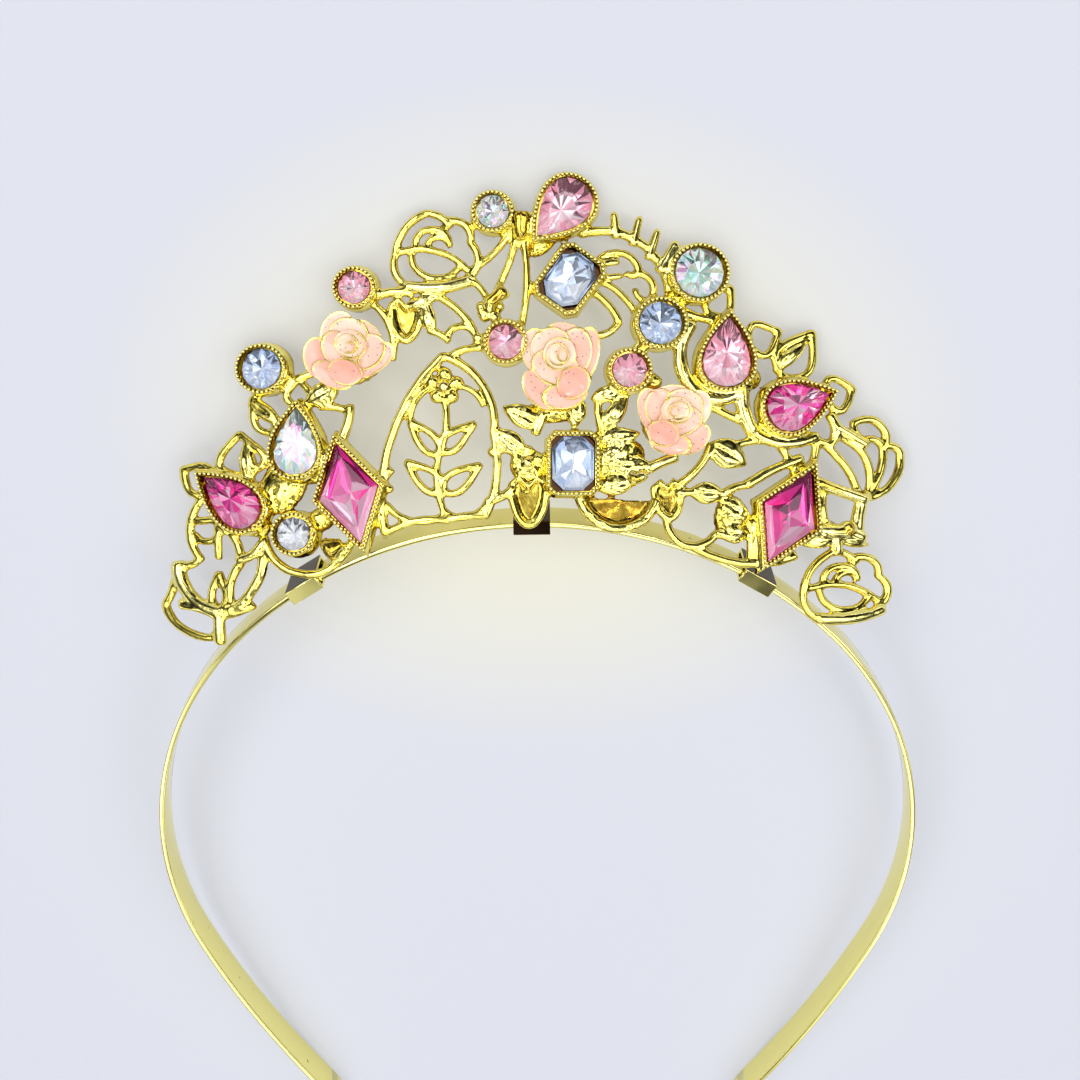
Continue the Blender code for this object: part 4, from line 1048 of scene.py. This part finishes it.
def stone(row, looks):
    cut, color, side, x, y, width, length, turn = row
    name = f"stone_{cut}_{color}_{side}"
    chance = random.Random(name)
    if cut in ("round", "pear"):
        points, faces, front = brilliant(stone_outline(cut, width, length, STONE_SIDES[cut]))
    else:
        points, faces, front = step_cut(stone_outline(cut, width, length), width)
    points, faces = poked(points, faces, front, chance)
    flat = turned([(px, py) for px, py, _ in points], turn - 90)
    placed = widened([(px, py, point[2]) for (px, py), point in zip(flat, points)], x)
    mesh = mesh_of(name, [(placed, faces)], MM)
    shades = mesh.attributes.new("facet_tone_and_painted_light", "FLOAT_COLOR", "CORNER")
    base = Vector(STONE_COLORS[color][1])
    for look in looks[color]:
        mesh.materials.append(look)
    for polygon in mesh.polygons:
        if polygon.index >= front:
            polygon.material_index = 1
        tint = Vector(chance.choice(OPAL_TINTS)) if color == "opal" else base
        # Painted light: a random brightness per facet, lowered in the stone's upper half, so upper facets
        # are mostly painted shade and lower ones get white painted highlights.
        above = polygon.center.y / (width / 2 * MM)
        light = chance.uniform(0.1, 0.95) - 0.50 * above
        tint = tint * (SHADED_FACET if light < SHADE_BELOW else 1.0)
        if light > HIGHLIGHT_ABOVE and color != "opal":
            tint = tint.lerp(Vector((1.0, 1.0, 1.0)), chance.uniform(0.15, 0.85))
        for corner in polygon.loop_indices:
            shades.data[corner].color = (*tint, 1.0)
    piece = linked(name + "_cut", mesh, local_frame(x, y))
    return dressed(piece, [], "stone_" + color, name)


# The enamelled roses


# Petals in a box from -1 to 1, later ones on earlier: x, y, half width, half height, turn, height, paleness
ROSE_PETALS = (
    (-0.48, -0.52, 0.58, 0.40, -38, 0.20, 0.30),
    (0.10, -0.66, 0.58, 0.32, 8, 0.25, 0.40),
    (0.62, 0.28, 0.36, 0.66, -14, 0.20, 0.45),
    (-0.58, 0.34, 0.42, 0.56, 20, 0.25, 0.75),
    (0.16, 0.70, 0.56, 0.30, -16, 0.20, 0.60),
    (0.36, 0.34, 0.44, 0.56, -10, 0.40, 0.50),
    (-0.26, 0.44, 0.52, 0.46, 14, 0.45, 0.80),
    (-0.14, -0.02, 0.62, 0.42, -12, 0.55, 0.60),
    (0.32, -0.38, 0.44, 0.36, 24, 0.70, 0.10),
    (-0.04, 0.28, 0.42, 0.38, 10, 0.85, 0.80),
    (-0.08, 0.26, 0.28, 0.26, 0, 1.00, 0.90),
    (0.04, 0.24, 0.15, 0.17, 0, 1.12, 0.60),
)
ROSE_SECTORS = 220
ROSE_RINGS = 70
LINE_WIDTH = 0.07


def petal_at(px, py):
    """Height, gold line and paleness at a place of the petal drawing, or None outside it."""
    for x, y, half_x, half_y, turn, height, paleness in reversed(ROSE_PETALS):
        u, v = turned([(px - x, py - y)], -turn)[0]
        inside = (u / half_x) ** 2 + (v / half_y) ** 2
        if inside <= 1.0:
            edge = (1 - math.sqrt(inside)) * min(half_x, half_y)
            line = max(0.0, 1 - edge / LINE_WIDTH)
            cupped = 0.30 * (v / half_y) - 0.22 * (1 - inside)
            return height + cupped + 0.10 * line, line, paleness
    return None


def rose(row, look):
    name, x, y, width, height, turn, mirrored = row
    points, lines, tints = [], [], []
    for sector in range(ROSE_SECTORS):
        angle = math.tau * sector / ROSE_SECTORS
        direction = (math.cos(angle), math.sin(angle))
        reach = max(r / 100 for r in range(20, 125)
                    if petal_at(direction[0] * r / 100, direction[1] * r / 100))
        for ring in range(ROSE_RINGS + 1):
            share = max(0.02, ring / ROSE_RINGS)
            px, py = direction[0] * reach * share * 0.999, direction[1] * reach * share * 0.999
            relief, line, tint = petal_at(px, py) or (0.2, 1.0, 0.2)
            fall = 0.45 + 0.55 * (1 - share ** 3)
            points.append((px, py, ROSE_BOTTOM + 0.45 + ROSE_RELIEF * relief * fall))
            lines.append(line)
            tints.append(tint)
    flat = turned([(px, py) for px, py, _ in points], turn)
    placed = [(mirrored * px * width / 2, py * height / 2, point[2])
              for (px, py), point in zip(flat, points)]
    count = ROSE_RINGS + 1
    base = len(points)
    for sector in range(ROSE_SECTORS):
        px, py, _ = placed[sector * count + ROSE_RINGS]
        placed.append((px * 0.96, py * 0.96, ROSE_BACKING + 0.05))
        lines.append(1.0)
        tints.append(0.2)
    faces = []
    for sector in range(ROSE_SECTORS):
        after = (sector + 1) % ROSE_SECTORS
        for ring in range(ROSE_RINGS):
            a, b = sector * count + ring, after * count + ring
            faces.append((a, a + 1, b + 1, b))
        faces.append((sector * count + ROSE_RINGS, base + sector, base + after, after * count + ROSE_RINGS))
    faces.append(tuple(sector * count for sector in range(ROSE_SECTORS)))
    faces.append(tuple(base + sector for sector in range(ROSE_SECTORS)))
    mesh = mesh_of(name, [(widened(placed, x), faces)], MM)
    marked(mesh, "line", lines)
    marked(mesh, "tint", tints)
    mesh.shade_smooth()
    piece = linked(name + "_enamel", mesh, local_frame(x, y))
    return dressed(piece, [look], "pink_enamel", name)


# The headband and clips


def band_at(along):
    """Place, outward and forward directions at a length from the crown, in the band's plane."""
    side = 1 if along >= 0 else -1
    left = abs(along)
    point, heading = Vector((0.0, 0.0)), 0.0
    for radius, degrees in BAND_ARCS:
        turn = min(math.radians(degrees), left / radius)
        point += radius * Vector((
            math.sin(heading + turn) - math.sin(heading),
            math.cos(heading + turn) - math.cos(heading),
        ))
        heading += turn
        left -= radius * turn
    point.x *= side
    outward = Vector((side * math.sin(heading), math.cos(heading)))
    forward = Vector((math.cos(heading), -side * math.sin(heading)))
    return point, outward, forward


def band_frame():
    lean = Matrix.Rotation(BAND_LEAN, 4, "X")
    return REST @ Matrix.Translation((0.0, 0.0, -BAND_SET_BACK * MM)) @ lean


def headband(look):
    """The strip with rounded edges, rounded tips and a slight waviness."""
    half = sum(radius * math.radians(degrees) for radius, degrees in BAND_ARCS)
    rings = []
    for i in range(BAND_STATIONS + 1):
        along = half * math.sin(math.pi * (i / BAND_STATIONS - 0.5))
        point, outward, _ = band_at(along)
        share = min(1.0, max(0.0, (half - abs(along)) / TIP_LENGTH))
        half_width = BAND_WIDTH / 2 * max(0.08, math.sqrt(1 - (1 - share) ** 2))
        wave = BAND_WAVE * noise.noise(Vector((along * 0.06, 5.0, 0.0)))
        corners = []
        round_by = min(BAND_EDGE, half_width * 0.6)
        for out, depth, start in BAND_CORNERS:
            centre_out = out + (-round_by if out == 0 else round_by)
            centre_depth = depth * (half_width - round_by)
            for step in range(5):
                angle = math.radians(start + 22.5 * step)
                corners.append((centre_out + round_by * math.cos(angle),
                                centre_depth + round_by * math.sin(angle)))
        ring = []
        for out, depth in corners:
            place = point + outward * (out + wave)
            ring.append((place.x, place.y, depth - BAND_WIDTH / 2))
        rings.append(ring)
    mesh = mesh_of("headband_strip", [lofted(rings)], MM)
    mesh.shade_smooth()
    mesh.set_sharp_from_angle(angle=math.radians(50))
    piece = linked("headband_strip", mesh, band_frame())
    for vertex in mesh.vertices:
        vertex.co.z = max(0.0, vertex.co.z)
    return dressed(piece, [look], "gold_plate", "headband")


def clip(name, x, looks):
    """A strip folded round the band, with softened edges; its outer side, and the middle clip's front too,
    is painted near-black as a painted dark reflection.
    """
    radius = BAND_ARCS[0][0]
    point, outward, forward = band_at(radius * math.asin(x / radius))
    high, low = CLIP_GAP, -BAND_THICKNESS - CLIP_GAP
    front, back = CLIP_GAP, -BAND_WIDTH - CLIP_GAP
    wall, seam = CLIP_WALL, CLIP_SEAM / 2
    middle = (front + back) / 2
    profile = (
        (low - wall, middle + seam), (low - wall, front + wall), (high + wall, front + wall + CLIP_LEAN),
        (high + wall, back - wall), (low - wall, back - wall), (low - wall, middle - seam),
        (low, middle - seam), (low, back), (high, back), (high, front), (low, front), (low, middle + seam),
    )
    rings = []
    for side in (-CLIP_WIDTH / 2, CLIP_WIDTH / 2):
        places = [(point + outward * out + forward * side, depth) for out, depth in profile]
        rings.append([(place.x, place.y, depth) for place, depth in places])
    piece = linked(name + "_folded", mesh_of(name, [lofted(rings)], MM), band_frame())
    bevel = piece.modifiers.new("fold", "BEVEL")
    bevel.width = CLIP_BEVEL * MM
    bevel.segments = 3
    piece.data.shade_smooth()
    piece.data.set_sharp_from_angle(angle=math.radians(60))
    dressed(piece, looks, "gold_plate", name)
    # Painted dark reflection: faces turned outwards, and on the middle clip also those facing forwards,
    # take the near-black metal.
    painted_dark_sides = [outward.to_3d()] if abs(x) > 10 else [outward.to_3d(), Vector((0.0, 0.0, 1.0))]
    for polygon in piece.data.polygons:
        normal = band_frame().to_3x3().inverted() @ polygon.normal
        if max(normal.dot(side) for side in painted_dark_sides) > 0.7:
            polygon.material_index = 1
    return piece


# Floor, lights and camera


def stage():
    """A pale, evenly glowing floor that is cool at its edges, and warmer and brighter under the tiara as
    painted light bounced from the gold that lifts its shadow.
    """
    mesh = bpy.data.meshes.new("floor")
    size = 1.5
    corners = [(-size, -size, 0), (size, -size, 0), (size, size, 0), (-size, size, 0)]
    mesh.from_pydata(corners, [], [(0, 1, 2, 3)])
    floor = linked("floor", mesh, Matrix.Translation((0, 0, -0.0001)))
    look = Look("pale_floor")
    look.set(Roughness=0.55, Emission_Strength=0.34)
    place = look.add("ShaderNodeTexCoord").outputs["Object"]
    scaled = look.add("ShaderNodeMapping", {"Vector": place, "Location": (0.0, -0.75, 0.0),
                                            "Scale": (14.0, 18.0, 1.0)}).outputs[0]
    warm_bounce_glow = look.add("ShaderNodeTexGradient", {"Vector": scaled}, gradient_type="SPHERICAL").outputs["Fac"]
    # Painted light under the tiara: the floor's colour and glow turn warmer and brighter towards it.
    look.link(look.ramp(warm_bounce_glow, ((0.0, (0.33, 0.34, 0.375)), (0.6, (0.36, 0.35, 0.29)))), "Base Color")
    look.link(look.ramp(warm_bounce_glow, ((0.0, (0.93, 0.95, 1.03)), (0.6, (1.22, 1.19, 1.00)))), "Emission Color")
    look.bump(look.noise(300, 2), 0.0001, 0.1)
    mesh.materials.append(look.block)


# place in the ramp, brightness
TENT = ((0.0, 0.9), (0.14, 0.15), (0.36, 0.03), (0.56, 0.35), (0.72, 1.0))
PANELS = ((0.06, 0.06), (0.22, 0.70), (0.74, 0.80), (0.90, 2.8))
# name, place, size, power
LAMPS = (
    ("key", (-0.45, 0.35, 0.75), (0.5, 0.5), 1.9),
    ("fill", (0.55, 0.1, 0.6), (0.4, 0.6), 1.0),
    ("low", (0.0, -0.7, 0.45), (0.9, 0.25), 0.5),
    ("sparkle_left", (-0.20, -0.25, 0.80), (0.06, 0.06), 0.25),
    ("sparkle_right", (0.25, 0.30, 0.75), (0.06, 0.06), 0.25),
)


def lights():
    """A light tent: a bright top with dark gaps in it, a dark belt and a bright horizon."""
    tent = Look("light_tent", "worlds", "Background")
    bpy.context.scene.world = tent.block
    place = tent.add("ShaderNodeTexCoord").outputs["Generated"]
    height = tent.add("ShaderNodeSeparateXYZ", {0: place}).outputs["Z"]
    sky = tent.ramp(height, [(at, (level, level * 1.01, level * 1.04)) for at, level in TENT])
    waves = tent.add("ShaderNodeTexWave", {"Vector": place, "Scale": 1.1, "Distortion": 3.0,
                                           "Detail": 0.0}, bands_direction="DIAGONAL").outputs["Fac"]
    panels = tent.ramp(waves, [(at, (level, level, level)) for at, level in PANELS])
    tent.link(tent.mixed(1.0, sky, panels, "MULTIPLY"), "Color")
    tent.set(Strength=1.15)
    for name, place, size, power in LAMPS:
        data = bpy.data.lights.new(name, "AREA")
        data.shape = "RECTANGLE"
        data.size, data.size_y = size
        data.energy = power
        light = linked(name, data)
        light.location = place
        light.rotation_euler = (-Vector(place)).to_track_quat("-Z", "Y").to_euler()


def camera():
    """The photo's view: straight on to the drawing, at the drawing's distance."""
    bpy.context.scene.view_settings.view_transform = "Standard"
    data = bpy.data.cameras.new("camera")
    data.sensor_width = 36.0
    data.lens = 53.3
    data.clip_start = 0.01
    view = linked("camera", data)
    eye = Matrix.Translation(Vector((*DRAWING_CENTRE, DRAWING_DISTANCE)) * MM)
    view.matrix_world = REST @ eye
    bpy.context.scene.camera = view


def main():
    gold = cast_gold()
    sheet = sheet_gold()
    openwork(gold)
    milgrain(gold)
    headband(sheet)
    # Near-black metal for the clips' outer faces, a painted dark reflection.
    folded = clip_painted_dark_reflection()
    for name, x in CLIPS:
        clip(name, x, [sheet, folded])
    looks = {}
    for color, (front, _) in STONE_COLORS.items():
        coating = OPAL_COATING if color == "opal" else 0.0
        looks[color] = [crystal("crystal_" + color, front, coating), foil("foil_" + color)]
    for row in STONES:
        stone(row, looks)
    petals = enamel()
    for row in ROSES:
        rose(row, petals)
    stage()
    lights()
    camera()


main()
